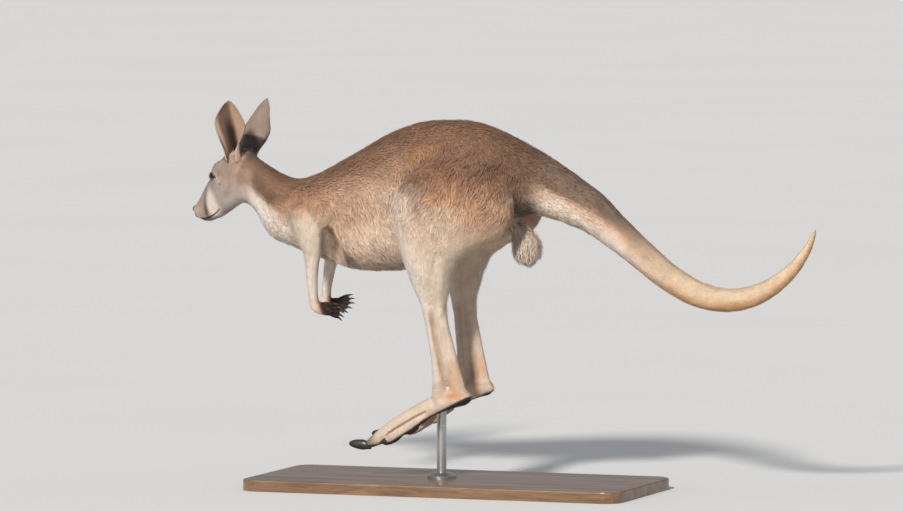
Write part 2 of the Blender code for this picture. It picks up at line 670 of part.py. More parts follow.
# ================================================================ the whole animal
def flesh(scratch):
    """The whole animal as one closed skin."""
    large = [spine_form(scratch)]
    small = [skull_form(scratch)]
    for side in (-1.0, 1.0):
        right = side > 0.0
        back = RIGHT_LEG_BACK if right else 0.0
        foot_shift = RIGHT_FOOT_SHIFT if right else (0.0, 0.0)
        reach = -RIGHT_WRIST_FORWARD if right else 0.0
        large.append(level_form(THIGH, side, scratch, (0.0, 0.4 * back)))
        small.append(level_form(SHIN, side, scratch, (0.3 * back, foot_shift[0]), foot_shift[1]))
        small.append(level_form(HEEL_CORD, side, scratch, (0.3 * back, foot_shift[0]), foot_shift[1]))
        small.append(long_form(FOOT, side, scratch, foot_shift))
        small.append(long_form(OUTER_TOE, side, scratch, foot_shift, 14))
        small.append(long_form(TWIN_TOE, side, scratch, foot_shift, 14))
        for x, z, y, long, wide, tall in SOLE_PADS:
            place = (x + foot_shift[0], side * y, z + foot_shift[1])
            small.append(ball(place, (long, wide, tall), scratch, -26.0))
        small.append(level_form(ARM, side, scratch, (0.0, reach)))
        small.append(long_form(PALM, side, scratch, (reach, 0.0), 16))
        for start, end, _ in finger_lines(side, reach):
            small.append(digit(start, end, FINGER_RADIUS, scratch))
        u, across, z = CHEEK[:3]
        small.append(head_ball("cheek", (u, side * across, z), CHEEK[3:], 40.0, scratch))
        u, across, z = BROW[:3]
        small.append(head_ball("brow", (u, side * across, z), BROW[3:], 50.0, scratch))
    small.append(long_form(SCROTUM, 1.0, scratch, sides=16))
    for side in (-1.0, 1.0):
        x, y, z = ARMPIT[0]
        scoop = ball((x, side * y, z), ARMPIT[1], scratch, ARMPIT[2])
        large[0] = boolean(large[0], scoop, "DIFFERENCE")
        bpy.data.objects.remove(scoop, do_unlink=True)
    body = melt(large, COARSE_VOXEL, 12, "body", scratch)
    whole = melt([body] + small, FINE_VOXEL, 4, "whole", scratch)
    return thin_out(whole, FLESH_FACES)


def cut_up(whole, scratch):
    """Parts the skin into the pieces a person would name."""
    limbs = []
    names = {"middle": (0.12, 0.0, 0.75)}
    for side, hand in ((-1.0, "left"), (1.0, "right")):
        limbs.append(arch_cutter(THIGH_ARCH, THIGH_WALL, 0.30, side, scratch))
        limbs.append(arch_cutter(SHOULDER_ARCH, SHOULDER_WALL, 0.20, side, scratch))
        names[hand + "_leg"] = (-0.03, side * 0.11, 0.50)
        names[hand + "_arm"] = (-0.37, side * 0.08, 0.60)
    pieces = part_with(whole, limbs, names, scratch)

    middle = pieces.pop("middle")
    plates = [plate(centre, turn, size, scratch) for centre, turn, size in MIDDLE_CUTS]
    pieces.update(part_with(middle, plates, MIDDLE_NAMES, scratch))
    for side, hand in ((-1.0, "left"), (1.0, "right")):
        back = RIGHT_LEG_BACK if side > 0.0 else 0.0
        reach = -RIGHT_WRIST_FORWARD if side > 0.0 else 0.0
        knee = plate((-0.045 + back, side * 0.15, 0.648), -72.0, (0.30, 0.34), scratch)
        up = RIGHT_FOOT_SHIFT[1] if side > 0.0 else 0.0
        ankle = plate((0.005 + back, side * 0.078, 0.264 + up), -86.0, (0.12, 0.20), scratch)
        names = {
            hand + "_thigh": (0.02, side * 0.12, 0.76),
            hand + "_shank": (-0.03, side * 0.10, 0.46),
            hand + "_foot": (-0.07, side * 0.076, 0.19),
        }
        pieces.update(part_with(pieces.pop(hand + "_leg"), [knee, ankle], names, scratch))
        elbow = plate((-0.375, side * 0.09, 0.612), -90.0, (0.12, 0.12), scratch)
        wrist = plate((-0.366 + reach, side * 0.07, 0.486), -118.0, (0.08, 0.08), scratch)
        names = {
            hand + "_upper_arm": (-0.39, side * 0.09, 0.68),
            hand + "_forearm": (-0.37, side * 0.08, 0.54),
            hand + "_hand": (-0.34 + reach, side * 0.07, 0.465),
        }
        pieces.update(part_with(pieces.pop(hand + "_arm"), [elbow, wrist], names, scratch))
    for name, piece in pieces.items():
        thin_out(piece, FACES[name.replace("left_", "").replace("right_", "")])
    for hand in ("left", "right"):
        for limb in ("thigh", "shank", "upper_arm"):
            pieces[f"{hand}_{limb}"] = hollow(pieces[f"{hand}_{limb}"], pieces["trunk"], scratch)
    return pieces


def main():
    clear_scene()
    scratch = new_collection("working")
    kit = new_collection("red_kangaroo")
    pieces = cut_up(flesh(scratch), scratch)
    fur = make_material("fur", (0.52, 0.38, 0.26), 0.9)
    bare = make_material("bare_skin", (0.06, 0.05, 0.045), 0.6)
    horn = make_material("claw", (0.03, 0.027, 0.025), 0.35)
    glassy = make_material("eye", (0.02, 0.012, 0.008), 0.08)
    wood = make_material("stand_board", (0.33, 0.22, 0.13), 0.45)
    steel = make_material("stand_steel", (0.62, 0.62, 0.61), 0.3, 1.0)
    finish = {name: fur for name in pieces}

    for side, hand in ((-1.0, "left"), (1.0, "right")):
        reach = -RIGHT_WRIST_FORWARD if side > 0.0 else 0.0
        eye_name = hand + "_eye"
        u, across, z = EYE
        eye = head_ball(eye_name, (u, side * across, z), (EYE_RADIUS,) * 3, 0.0, scratch)
        pieces["head"] = hollow(pieces["head"], eye, scratch)
        pieces[eye_name] = eye
        finish[eye_name] = glassy
        foot_shift = RIGHT_FOOT_SHIFT if side > 0.0 else (0.0, 0.0)
        for toe_claw in foot_claws(hand + "_foot_claw", side, foot_shift, scratch):
            pieces[hand + "_foot"] = hollow(pieces[hand + "_foot"], toe_claw, scratch)
            pieces[toe_claw.name] = toe_claw
            finish[toe_claw.name] = horn
        for number, (start, end, way) in enumerate(finger_lines(side, reach), 1):
            name = f"{hand}_hand_claw_{number}"
            nail = claw(name, end - way * 0.003, way, FINGER_CLAW, FINGER_CLAW_RADIUS, 0.25, 0.8, scratch,
                        5, 4)
            pieces[hand + "_hand"] = hollow(pieces[hand + "_hand"], nail, scratch)
            pieces[name] = nail
            finish[name] = horn
    nose = head_ball("nose", (NOSE[0], 0.0, NOSE[1]), NOSE_SIZE, 42.0, scratch, 12)
    pieces["head"] = hollow(pieces["head"], nose, scratch)
    pieces["nose"] = nose
    finish["nose"] = bare
    skull = grown(pieces["head"], GAP, scratch)
    for side, hand in ((-1.0, "left"), (1.0, "right")):
        name = hand + "_ear"
        shell = boolean(ear(name, side, scratch), skull, "DIFFERENCE")
        pieces.update(part_with(shell, [], {name: (-0.60, side * 0.06, 0.95)}, scratch))
        finish[name] = fur
    bpy.data.objects.remove(skull, do_unlink=True)

    rod = level_rod(scratch)
    pieces["trunk"] = hollow(pieces["trunk"], rod, scratch)
    pieces["stand_rod"] = rod
    pieces["stand_collar"] = collar(scratch)
    pieces["stand_base"] = base(scratch)
    finish["stand_rod"] = steel
    finish["stand_collar"] = steel
    finish["stand_base"] = wood

    for name, piece in pieces.items():
        hand_over(name, piece, finish[name], kit)
    for thing in list(scratch.objects):
        bpy.data.objects.remove(thing, do_unlink=True)
    bpy.data.collections.remove(scratch)


def level_rod(collection):
    work = bmesh.new()
    height = ROD_TOP - BASE_THICK - GAP
    bmesh.ops.create_cone(work, cap_ends=True, segments=24, radius1=ROD_RADIUS, radius2=ROD_RADIUS,
                          depth=height)
    bmesh.ops.translate(work, vec=(ROD_X, 0.0, ROD_TOP - height / 2.0), verts=work.verts)
    return mesh_object("stand_rod", work, collection)


def collar(collection):
    """A low turned ring that hides the foot of the rod."""
    low = BASE_THICK + GAP
    inner = ROD_RADIUS + GAP
    profile = (
        (inner, low), (COLLAR_RADIUS, low), (COLLAR_RADIUS, low + 0.006),
        (COLLAR_RADIUS - 0.012, low + COLLAR_HEIGHT), (inner, low + COLLAR_HEIGHT),
    )
    work = bmesh.new()
    loop = [work.verts.new((ROD_X + r, 0.0, z)) for r, z in profile]
    edges = [work.edges.new((loop[i], loop[(i + 1) % len(loop)])) for i in range(len(loop))]
    bmesh.ops.spin(work, geom=loop + edges, cent=(ROD_X, 0.0, 0.0), axis=(0.0, 0.0, 1.0),
                   angle=2.0 * math.pi, steps=24, use_merge=True)
    bmesh.ops.remove_doubles(work, verts=work.verts, dist=0.00001)
    return mesh_object("stand_collar", work, collection)


def base(collection):
    work = bmesh.new()
    bmesh.ops.create_cube(work, size=1.0)
    bmesh.ops.scale(work, vec=(BASE_LENGTH, BASE_WIDTH, BASE_THICK), verts=work.verts)
    bmesh.ops.translate(work, vec=(0.0, 0.0, BASE_THICK / 2.0), verts=work.verts)
    upright = [edge for edge in work.edges if abs(edge.verts[0].co.z - edge.verts[1].co.z) > 0.001]
    bmesh.ops.bevel(work, geom=upright, offset=BASE_CORNER, segments=6, profile=0.5, affect="EDGES")
    rim = [edge for edge in work.edges if min(vertex.co.z for vertex in edge.verts) > BASE_THICK - 0.0001]
    bmesh.ops.bevel(work, geom=rim, offset=BASE_EDGE, segments=2, profile=0.5, affect="EDGES")
    return mesh_object("stand_base", work, collection)


def hand_over(name, piece, material, kit):
    """Gives a finished piece its name, finish and place in the kit."""
    piece.name = name
    piece.data.name = name
    piece.data.materials.clear()
    piece.data.materials.append(material)
    round_piece = name != "stand_base"
    for face in piece.data.polygons:
        face.use_smooth = round_piece
    for holder in list(piece.users_collection):
        holder.objects.unlink(piece)
    kit.objects.link(piece)


main()
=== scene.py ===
# %% [markdown]
# # A red kangaroo in mid leap, as a museum model
# The real object is a life-size model of the kind a museum shows: a cast body, glass eyes, horn claws and a
# coat laid on in small tufts, held over a wooden board by one steel rod. This lesson makes its looks on top
# of a finished, plain CAD model, which is loaded first and never changed. One skin is melted from copies of
# the CAD flesh, the face and folds are pressed into it, and the coat is grown over it tuft by tuft.

# %% Load the frame
import math
from contextlib import contextmanager

import bmesh
import bpy
import numpy as np
from mathutils import Matrix, Vector
from mathutils.bvhtree import BVHTree
from mathutils.kdtree import KDTree


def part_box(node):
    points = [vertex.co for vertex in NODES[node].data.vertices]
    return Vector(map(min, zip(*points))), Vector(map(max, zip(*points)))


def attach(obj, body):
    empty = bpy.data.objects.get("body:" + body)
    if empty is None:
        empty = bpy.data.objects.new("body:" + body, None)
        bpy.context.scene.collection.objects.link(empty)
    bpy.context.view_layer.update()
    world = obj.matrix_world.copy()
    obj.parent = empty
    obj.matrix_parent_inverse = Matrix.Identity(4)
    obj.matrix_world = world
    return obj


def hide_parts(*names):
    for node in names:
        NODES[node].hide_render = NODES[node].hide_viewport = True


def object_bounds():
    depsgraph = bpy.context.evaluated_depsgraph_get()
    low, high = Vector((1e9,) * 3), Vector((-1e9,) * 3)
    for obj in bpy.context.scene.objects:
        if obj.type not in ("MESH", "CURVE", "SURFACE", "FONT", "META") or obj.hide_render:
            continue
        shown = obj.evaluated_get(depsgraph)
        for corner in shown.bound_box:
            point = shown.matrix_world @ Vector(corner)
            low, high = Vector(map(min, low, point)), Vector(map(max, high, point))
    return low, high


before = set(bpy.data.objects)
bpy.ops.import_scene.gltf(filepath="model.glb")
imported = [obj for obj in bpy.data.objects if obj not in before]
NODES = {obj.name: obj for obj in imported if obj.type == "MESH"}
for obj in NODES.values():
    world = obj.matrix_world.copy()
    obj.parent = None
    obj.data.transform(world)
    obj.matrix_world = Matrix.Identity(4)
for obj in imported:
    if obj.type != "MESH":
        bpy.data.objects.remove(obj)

CAD_LOW, CAD_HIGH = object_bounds()
print("CAD box", tuple(CAD_LOW), tuple(CAD_HIGH), len(NODES), "nodes")

# %% [markdown]
# ## Camera, floor and light
# A long lens far away keeps the animal's proportions true. The floor is a wide pale disc that fills the
# view, and one very soft lamp from the animal's left and front is helped by an even, pale sky.

# %% Camera
AZIMUTH, ELEVATION = math.radians(20.0), math.radians(4.0)
CAMERA_DISTANCE = 22.0
LENS, SENSOR_WIDTH, FAR_CLIP = 337.34, 36.0, 200.0
AIM = Vector(((CAD_LOW.x + CAD_HIGH.x) / 2 - 0.1279, 0.0, CAD_LOW.z + 0.6110))


def place_camera():
    camera = bpy.data.objects.new("camera", bpy.data.cameras.new("camera"))
    bpy.context.scene.collection.objects.link(camera)
    back = Vector((math.sin(AZIMUTH) * math.cos(ELEVATION), -math.cos(AZIMUTH) * math.cos(ELEVATION),
                   math.sin(ELEVATION)))
    camera.location = AIM + back * CAMERA_DISTANCE
    camera.rotation_mode = "QUATERNION"
    camera.rotation_quaternion = (-back).to_track_quat("-Z", "Y")
    camera.data.sensor_width = SENSOR_WIDTH
    camera.data.lens = LENS
    camera.data.clip_end = FAR_CLIP
    bpy.context.scene.camera = camera
    print("camera at", tuple(round(v, 3) for v in camera.location))


place_camera()

# %% [markdown]
# A kangaroo is out early and late, in low sun. One broad sun lamp gives that warm side light with a soft
# edge to its shadows, and a pale even sky fills the shade, as white walls do in a studio. Several lamps
# could do the same, but their crossed shadows would hide the shape of the muscles.

# %% Light
SUN_FROM = Vector((-0.03, -0.93, 0.56))
SUN_STRENGTH, SUN_SPREAD, SUN_COLOUR = 3.35, math.radians(7.0), (1.0, 0.955, 0.89)
SKY_STRENGTH, SKY_COLOUR = 0.38, (0.90, 0.94, 1.0, 1.0)


def soft_light():
    lamp = bpy.data.objects.new("soft_key", bpy.data.lights.new("soft_key", "SUN"))
    bpy.context.scene.collection.objects.link(lamp)
    lamp.rotation_mode = "QUATERNION"
    lamp.rotation_quaternion = SUN_FROM.to_track_quat("Z", "Y")
    lamp.data.energy = SUN_STRENGTH
    lamp.data.angle = SUN_SPREAD
    lamp.data.color = SUN_COLOUR
    world = bpy.data.worlds.new("pale_sky")
    world.use_nodes = True
    sky = world.node_tree.nodes["Background"]
    sky.inputs["Color"].default_value = SKY_COLOUR
    sky.inputs["Strength"].default_value = SKY_STRENGTH
    bpy.context.scene.world = world
    bpy.context.scene.view_settings.view_transform = "Standard"


soft_light()

# %% [markdown]
# ## Small tools
# Most of this animal is worked as arrays of points, because two hundred thousand tufts are too many for
# loops. These helpers read a mesh into arrays, write it back, and even a value out between neighbouring
# points.

# %% Array tools
RAW = np.float64


def ramp(low, high, value):
    """0 at low, 1 at high and a soft S between; it runs downwards if low is above high."""
    t = np.clip((value - low) / (high - low), 0.0, 1.0)
    return t * t * (3.0 - 2.0 * t)


def unit(vectors):
    return vectors / np.maximum(np.linalg.norm(vectors, axis=-1, keepdims=True), 1e-9)


def paint_light(red, green, blue):
    """A paint colour of 0 to 255 as linear light."""
    share = np.array((red, green, blue)) / 255.0
    return np.where(share <= 0.04045, share / 12.92, ((share + 0.055) / 1.055) ** 2.4)


def spot(places, middle, radii, soft=0.5, lean=0.0):
    """A soft oval mark: 1 at its middle and 0 outside. Lean turns it in the side view, in degrees."""
    gap = places - np.array(middle)
    c, s = math.cos(math.radians(lean)), math.sin(math.radians(lean))
    x, z = gap[:, 0] * c + gap[:, 2] * s, -gap[:, 0] * s + gap[:, 2] * c
    far = np.sqrt((x / radii[0]) ** 2 + (gap[:, 1] / radii[1]) ** 2 + (z / radii[2]) ** 2)
    return ramp(1.0 + soft, 1.0 - soft, far)


def ripple(places, size, seed, waves=7):
    """A smooth random value, about -1 to 1, that changes over about size metres."""
    stream = np.random.default_rng(seed)
    total = np.zeros(len(places))
    for _ in range(waves):
        way = unit(stream.normal(size=3)) * 2.0 * math.pi / size * stream.uniform(0.6, 1.5)
        total += np.sin(places @ way + stream.uniform(0.0, 6.28))
    return total / math.sqrt(waves * 1.2)


def read(things, field, wide, kind):
    """One row of wide numbers for each thing of a mesh, such as the places of its vertices."""
    flat = np.empty(len(things) * wide, kind)
    things.foreach_get(field, flat)
    return flat.reshape(-1, wide)


def read_points(mesh):
    return read(mesh.vertices, "co", 3, np.float32).astype(RAW)


def read_normals(mesh):
    return read(mesh.vertex_normals, "vector", 3, np.float32).astype(RAW)


def read_edges(mesh):
    return read(mesh.edges, "vertices", 2, np.int32)


def read_triangles(mesh):
    mesh.calc_loop_triangles()
    return read(mesh.loop_triangles, "vertices", 3, np.int32)


def write_points(mesh, places):
    mesh.vertices.foreach_set("co", places.astype(np.float32).ravel())
    mesh.update()


def even_out(values, edges, steps, hold=None):
    """Moves each value towards its neighbours' mean by each step's share (a negative step swells)."""
    a, b = edges.T
    size, given = len(values), values.shape
    count = np.maximum(np.bincount(edges.ravel(), minlength=size), 1)[:, None]
    values = values.reshape(size, -1).astype(RAW)
    for step in steps:
        total = np.stack([np.bincount(a, column[b], size) + np.bincount(b, column[a], size)
                          for column in values.T], axis=1)
        change = (total / count - values) * step
        values = values + (change if hold is None else change * hold[:, None])
    return values.reshape(given)


def halves(passes):
    """Steps that even a value out; no_shrink's swell after each step, so that a shape keeps its size."""
    return (0.5,) * passes


def no_shrink(passes):
    return (0.5, -0.52) * passes


# %% [markdown]
# Every piece ends as one plain mesh object with a material, at the origin. These few helpers make such an
# object, link it and give it smooth faces, so that each later step says only what is special about its
# piece.

# %% Object tools
def new_object(name, mesh):
    made = bpy.data.objects.new(name, mesh)
    bpy.context.scene.collection.objects.link(made)
    return made


def from_bmesh(name, work):
    mesh = bpy.data.meshes.new(name)
    work.to_mesh(mesh)
    work.free()
    return new_object(name, mesh)


@contextmanager
def edited(mesh):
    """Opens a mesh for bmesh operators and writes it back."""
    work = bmesh.new()
    work.from_mesh(mesh)
    yield work
    work.to_mesh(mesh)
    work.free()
    mesh.update()


def settle(thing):
    """Replaces an object's mesh by what its modifiers make of it."""
    seen = thing.evaluated_get(bpy.context.evaluated_depsgraph_get())
    mesh = bpy.data.meshes.new_from_object(seen)
    thing.modifiers.clear()
    thing.vertex_groups.clear()
    thing.data = mesh
    return thing


def discard(thing):
    bpy.data.objects.remove(thing, do_unlink=True)


def write_layer(mesh, name, kind, values):
    """Stores one value per point: kind is FLOAT, FLOAT_VECTOR or FLOAT_COLOR."""
    field = {"FLOAT": "value", "FLOAT_VECTOR": "vector", "FLOAT_COLOR": "color"}[kind]
    if kind == "FLOAT_COLOR":
        values = np.column_stack((values, np.ones(len(values))))
    layer = mesh.attributes.new(name, kind, "POINT")
    layer.data.foreach_set(field, np.asarray(values, np.float32).ravel())


# %% [markdown]
# ## Guide lines
# A coat lies along the body: back from the nose, down the limbs, out to the tips of tail, ears and toes.
# Each part of the animal has a guide line down its middle, drawn in the direction the hair lies. From a
# guide come the lie, the distance along the part and the angle round it. Limbs are given for one side, with
# y outwards.

# %% Guides
HEAD_TURN = math.radians(16.0)
HEAD_AT = np.array((-0.597, 0.0, 0.0))
GUIDES = {
    "spine": ((-0.600, 0, 0.835), (-0.572, 0, 0.803), (-0.499, 0, 0.747), (-0.427, 0, 0.725),
              (-0.278, 0, 0.727), (-0.108, 0, 0.767), (0.069, 0, 0.808), (0.204, 0, 0.812),
              (0.331, 0, 0.755), (0.438, 0, 0.682), (0.580, 0, 0.571), (0.655, 0, 0.530),
              (0.740, 0, 0.513), (0.822, 0, 0.530), (0.896, 0, 0.577), (0.948, 0, 0.636),
              (0.984, 0, 0.713)),
    "thigh": ((0.080, 0.060, 0.900), (0.045, 0.080, 0.800), (0.010, 0.085, 0.700), (-0.015, 0.095, 0.630),
              (-0.028, 0.110, 0.540)),
    "shank": ((-0.028, 0.118, 0.600), (-0.022, 0.110, 0.500), (-0.010, 0.097, 0.398), (0.004, 0.086, 0.300),
              (0.014, 0.080, 0.255)),
    "foot": ((0.070, 0.076, 0.262), (-0.031, 0.078, 0.226), (-0.112, 0.078, 0.183), (-0.230, 0.076, 0.112)),
    "arm": ((-0.402, 0.060, 0.770), (-0.388, 0.080, 0.690), (-0.368, 0.091, 0.600), (-0.369, 0.080, 0.530),
            (-0.367, 0.071, 0.478)),
    "hand": ((-0.375, 0.070, 0.478), (-0.344, 0.069, 0.465), (-0.290, 0.069, 0.464)),
    "sac": ((0.110, 0.0, 0.725), (0.165, 0.0, 0.687), (0.192, 0.0, 0.640), (0.203, 0.0, 0.595)),
    "face": ((-0.160, 0, 0.705), (-0.120, 0, 0.725), (-0.060, 0, 0.775), (0.000, 0, 0.820),
             (0.060, 0, 0.835)),
}
GUIDE_OF = {
    "neck": "spine", "trunk": "spine", "tail_root": "spine", "tail_upper": "spine", "tail_lower": "spine",
    "tail_tip": "spine", "thigh": "thigh", "shank": "shank", "foot": "foot", "upper_arm": "arm",
    "forearm": "arm", "hand": "hand", "scrotum": "sac", "head": "face", "nose": "face", "ear": "ear",
}


def along(guide, places):
    """Distance along a guide, angle round it (0 outwards, 90 on its upper side), distance off it, its way."""
    line = np.array(GUIDES[guide], RAW)
    steps = np.diff(line, axis=0)
    lengths = np.linalg.norm(steps, axis=1)
    started = np.concatenate(([0.0], np.cumsum(lengths)))
    ways = unit(np.vstack((steps[:1], unit(steps[:-1]) + unit(steps[1:]), steps[-1:])))
    best = np.full(len(places), np.inf)
    travelled = np.zeros(len(places))
    way = np.zeros_like(places)
    foot = np.zeros_like(places)
    for i, step in enumerate(steps):
        share = np.clip((places - line[i]) @ step / lengths[i] ** 2, 0.0, 1.0)
        point = line[i] + share[:, None] * step
        gap = np.linalg.norm(places - point, axis=1)
        near = gap < best
        best[near] = gap[near]
        travelled[near] = (started[i] + share * lengths[i])[near]
        way[near] = (ways[i] + share[:, None] * (ways[i + 1] - ways[i]))[near]
        foot[near] = point[near]
    way = unit(way)
    upward = unit(np.cross(way, (0.0, 1.0, 0.0)) * np.sign(way[:, :1] + 1e-9))
    out = places - foot
    angle = np.degrees(np.arctan2((out * upward).sum(axis=1), out[:, 1]))
    return travelled, angle, best, way


def into_head(places):
    """Turns world points into the head's own frame, where it faces straight down -X."""
    x, y, z = (places - HEAD_AT).T
    c, s = math.cos(HEAD_TURN), math.sin(HEAD_TURN)
    return np.column_stack((c * x - s * y, s * x + c * y, z))


def out_of_head(vectors):
    x, y, z = vectors.T
    c, s = math.cos(HEAD_TURN), math.sin(HEAD_TURN)
    return np.column_stack((c * x + s * y, -s * x + c * y, z))


def mirrored(places, sides):
    made = places.copy()
    made[:, 1] *= sides
    return made


# %% [markdown]
# ## One skin
# The CAD flesh is cut into named pieces by thin gaps. Copies of them are pushed out by less than a
# millimetre, so that they meet again, and a voxel remesh melts them into one closed skin. It is smoothed
# without shrinking and drawn in by the depth of the coat that will cover each part, so that the tips of the
# coat end up where the CAD surface is. The head, hands and feet keep a fine mesh, and the rest is thinned.

# %% Melt the flesh
SKIN_VOXEL = 0.0023
CLOSE_CUTS = 0.0008
FLESH = [name for name in NODES if not name.startswith("stand_") and "claw" not in name
         and not name.endswith("_eye")]
EYES = ("left_eye", "right_eye")


def melted_skin():
    work = bmesh.new()
    for name in [name for name in FLESH if not name.endswith("_ear")] + list(EYES):
        work.from_mesh(NODES[name].data)
    bmesh.ops.remove_doubles(work, verts=work.verts, dist=0.00001)
    work.normal_update()
    for vertex, normal in [(vertex, vertex.normal.copy()) for vertex in work.verts]:
        vertex.co += normal * CLOSE_CUTS
    plug = bmesh.new()
    plug.from_mesh(NODES["stand_rod"].data)
    bmesh.ops.remove_doubles(plug, verts=plug.verts, dist=0.00001)
    rod_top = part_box("stand_rod")[1].z
    bmesh.ops.bisect_plane(plug, geom=plug.verts[:] + plug.edges[:] + plug.faces[:],
                           plane_co=(0, 0, rod_top - 0.026), plane_no=(0, 0, -1), clear_outer=True)
    bmesh.ops.holes_fill(plug, edges=plug.edges, sides=0)
    held = from_bmesh("plug", plug)
    work.from_mesh(held.data)
    discard(held)
    skin = from_bmesh("kangaroo_skin", work)
    melt = skin.modifiers.new("melt", "REMESH")
    melt.mode = "VOXEL"
    melt.voxel_size = SKIN_VOXEL
    return settle(skin)


skin = melted_skin()
print("melted skin:", len(skin.data.vertices), "points")

# %% [markdown]
# After the melt, the skin no longer knows the thigh from the belly. Each point is given to the nearest part
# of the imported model. Painting by hand in the editor would do it too, but a search by distance gives the
# same answer each time.

# %% Which part each point belongs to
def part_finder():
    corners, faces, owners = [], [], []
    for number, name in enumerate(FLESH):
        mesh = NODES[name].data
        start = len(corners)
        corners += [tuple(vertex.co) for vertex in mesh.vertices]
        for face in mesh.polygons:
            faces.append(tuple(start + index for index in face.vertices))
            owners.append(number)
    return BVHTree.FromPolygons(corners, faces), owners


PART_TREE, PART_OWNERS = part_finder()
PLAIN = [name.replace("left_", "").replace("right_", "") for name in FLESH]


def part_numbers(places):
    found = [PART_TREE.find_nearest(place)[2] for place in places.tolist()]
    return np.array([PART_OWNERS[face] for face in found])


def lookup(numbers, table):
    """The table's value for each point's part, by the part's plain name, or 0."""
    return np.array([table.get(name, 0.0) for name in PLAIN], RAW)[numbers]


def among(numbers, *names):
    return lookup(numbers, dict.fromkeys(names, 1.0)) > 0.5


# %% [markdown]
# The melted skin has small steps where two parts met, and it still fills the whole outline. A few rounds of
# smoothing take the steps away, and then each point moves inwards by the depth of the coat there, so that
# skin and coat together come out at the animal's size.

# %% Smooth and draw in the skin
COAT_DEPTH = {
    "head": 0.0016, "nose": 0.0, "neck": 0.0038, "trunk": 0.0050, "thigh": 0.0046, "shank": 0.0022,
    "foot": 0.0013, "upper_arm": 0.0026, "forearm": 0.0018, "hand": 0.0006, "tail_root": 0.0046,
    "tail_upper": 0.0034, "tail_lower": 0.0022, "tail_tip": 0.0018, "scrotum": 0.0040,
}
BROAD = {"neck": 1.0, "trunk": 1.0, "thigh": 1.0, "tail_root": 1.0, "tail_upper": 1.0, "tail_lower": 0.8,
         "tail_tip": 0.5, "shank": 0.5, "upper_arm": 0.5, "scrotum": 0.5, "head": 0.25}
FINE_PARTS = ("head", "nose", "hand")
FACE_FROM = -0.020
FOOT_FACES, BROAD_FACES = 26000, 76000


def thin_out(thing, chosen, faces):
    """Thins the chosen points' part of a mesh to about that many triangles and leaves the rest."""
    group = thing.vertex_groups.new(name="thin")
    group.add(np.flatnonzero(chosen).tolist(), 1.0, "REPLACE")
    triangles = read_triangles(thing.data)
    kept = int((~chosen)[triangles].all(axis=1).sum())
    thin = thing.modifiers.new("thin", "DECIMATE")
    thin.vertex_group = "thin"
    thin.ratio = (kept + faces) / len(triangles)
    settle(thing)
    places = read_points(thing.data)
    return places, read_edges(thing.data), part_numbers(places)


def low_thigh(numbers, places):
    """1 on the lower thigh, where the long coat gives way to the short one of the shank."""
    return among(numbers, "thigh") * ramp(0.770, 0.650, places[:, 2])


def coat_depth(numbers, places):
    depth = lookup(numbers, COAT_DEPTH)
    return depth + (COAT_DEPTH["shank"] - depth) * low_thigh(numbers, places)


def drawn_in(thing):
    mesh = thing.data
    places, edges = read_points(mesh), read_edges(mesh)
    numbers = part_numbers(places)
    broad = even_out(lookup(numbers, BROAD), edges, halves(10))
    places = even_out(places, edges, no_shrink(6))
    places = even_out(places, edges, no_shrink(34), broad)
    write_points(mesh, places)
    depth = even_out(coat_depth(numbers, places), edges, halves(16))
    places -= read_normals(mesh) * depth[:, None]
    write_points(mesh, even_out(places, edges, no_shrink(6), broad))
    fine = among(numbers, *FINE_PARTS) & (~among(numbers, "head") | (into_head(places)[:, 0] < FACE_FROM))
    places, edges, numbers = thin_out(thing, ~fine & ~among(numbers, "foot"), BROAD_FACES)
    places, edges, numbers = thin_out(thing, among(numbers, "foot"), FOOT_FACES)
    mesh = thing.data
    hold = even_out(among(numbers, *(name for name in BROAD if name not in FINE_PARTS)), edges, halves(4))
    write_points(mesh, even_out(places, edges, no_shrink(8), hold))
    print("skin drawn in:", len(read_triangles(mesh)), "triangles")
    return thing


drawn_in(skin)

# %% [markdown]
# ## The face
# The head is what people look at, so it gets the finest mesh. The lids are not added on: points near each
# eye are moved onto a shell just outside the eyeball, the points inside an almond-shaped opening drop behind
# it, and those along its edge are drawn exactly onto the edge, which makes a clean lid. Nostrils, the split
# of the lip and the mouth are pressed in along their own lines.

# %% Finer mesh where the face needs it
EYE_AT = (-0.0685, 0.0270, 0.8048)
EYE_RADIUS = 0.0136


def finer(thing, wanted):
    """Halves the edges whose ends both pass the test, then makes triangles of what is left."""
    places = read_points(thing.data)
    chosen = wanted(into_head(places))
    with edited(thing.data) as work:
        edges = [edge for edge in work.edges if all(chosen[end.index] for end in edge.verts)]
        bmesh.ops.subdivide_edges(work, edges=edges, cuts=1)
        bmesh.ops.triangulate(work, faces=[face for face in work.faces if len(face.verts) > 3])
        thin = [face for face in work.faces if face.calc_area() < 1e-9]
        sides = {edge for face in thin for edge in face.edges}
        around = {near for edge in sides for near in edge.link_faces}
        bmesh.ops.beautify_fill(work, faces=list(around), edges=list(sides))
    return len(edges)


def near_eyes(reach):
    def test(head):
        gap = np.linalg.norm(mirrored(head, np.sign(head[:, 1])) - np.array(EYE_AT), axis=1)
        return gap < reach
    return test


MOUTH = ((-0.143, 0.6925), (-0.132, 0.6900), (-0.118, 0.6890), (-0.098, 0.6935), (-0.080, 0.7010),
         (-0.064, 0.7110), (-0.052, 0.7200))


def from_line(points, line):
    """Distance of flat points from a bent line, and how far along it they are, from 0 to 1."""
    line = np.array(line, RAW)
    best = np.full(len(points), np.inf)
    share_along = np.zeros(len(points))
    for i, step in enumerate(np.diff(line, axis=0)):
        share = np.clip((points - line[i]) @ step / (step @ step), 0.0, 1.0)
        gap = np.linalg.norm(points - line[i] - share[:, None] * step, axis=1)
        near = gap < best
        best[near] = gap[near]
        share_along[near] = ((i + share) / (len(line) - 1))[near]
    return best, share_along


def mouth_gap(head):
    return from_line(head[:, (0, 2)], MOUTH)


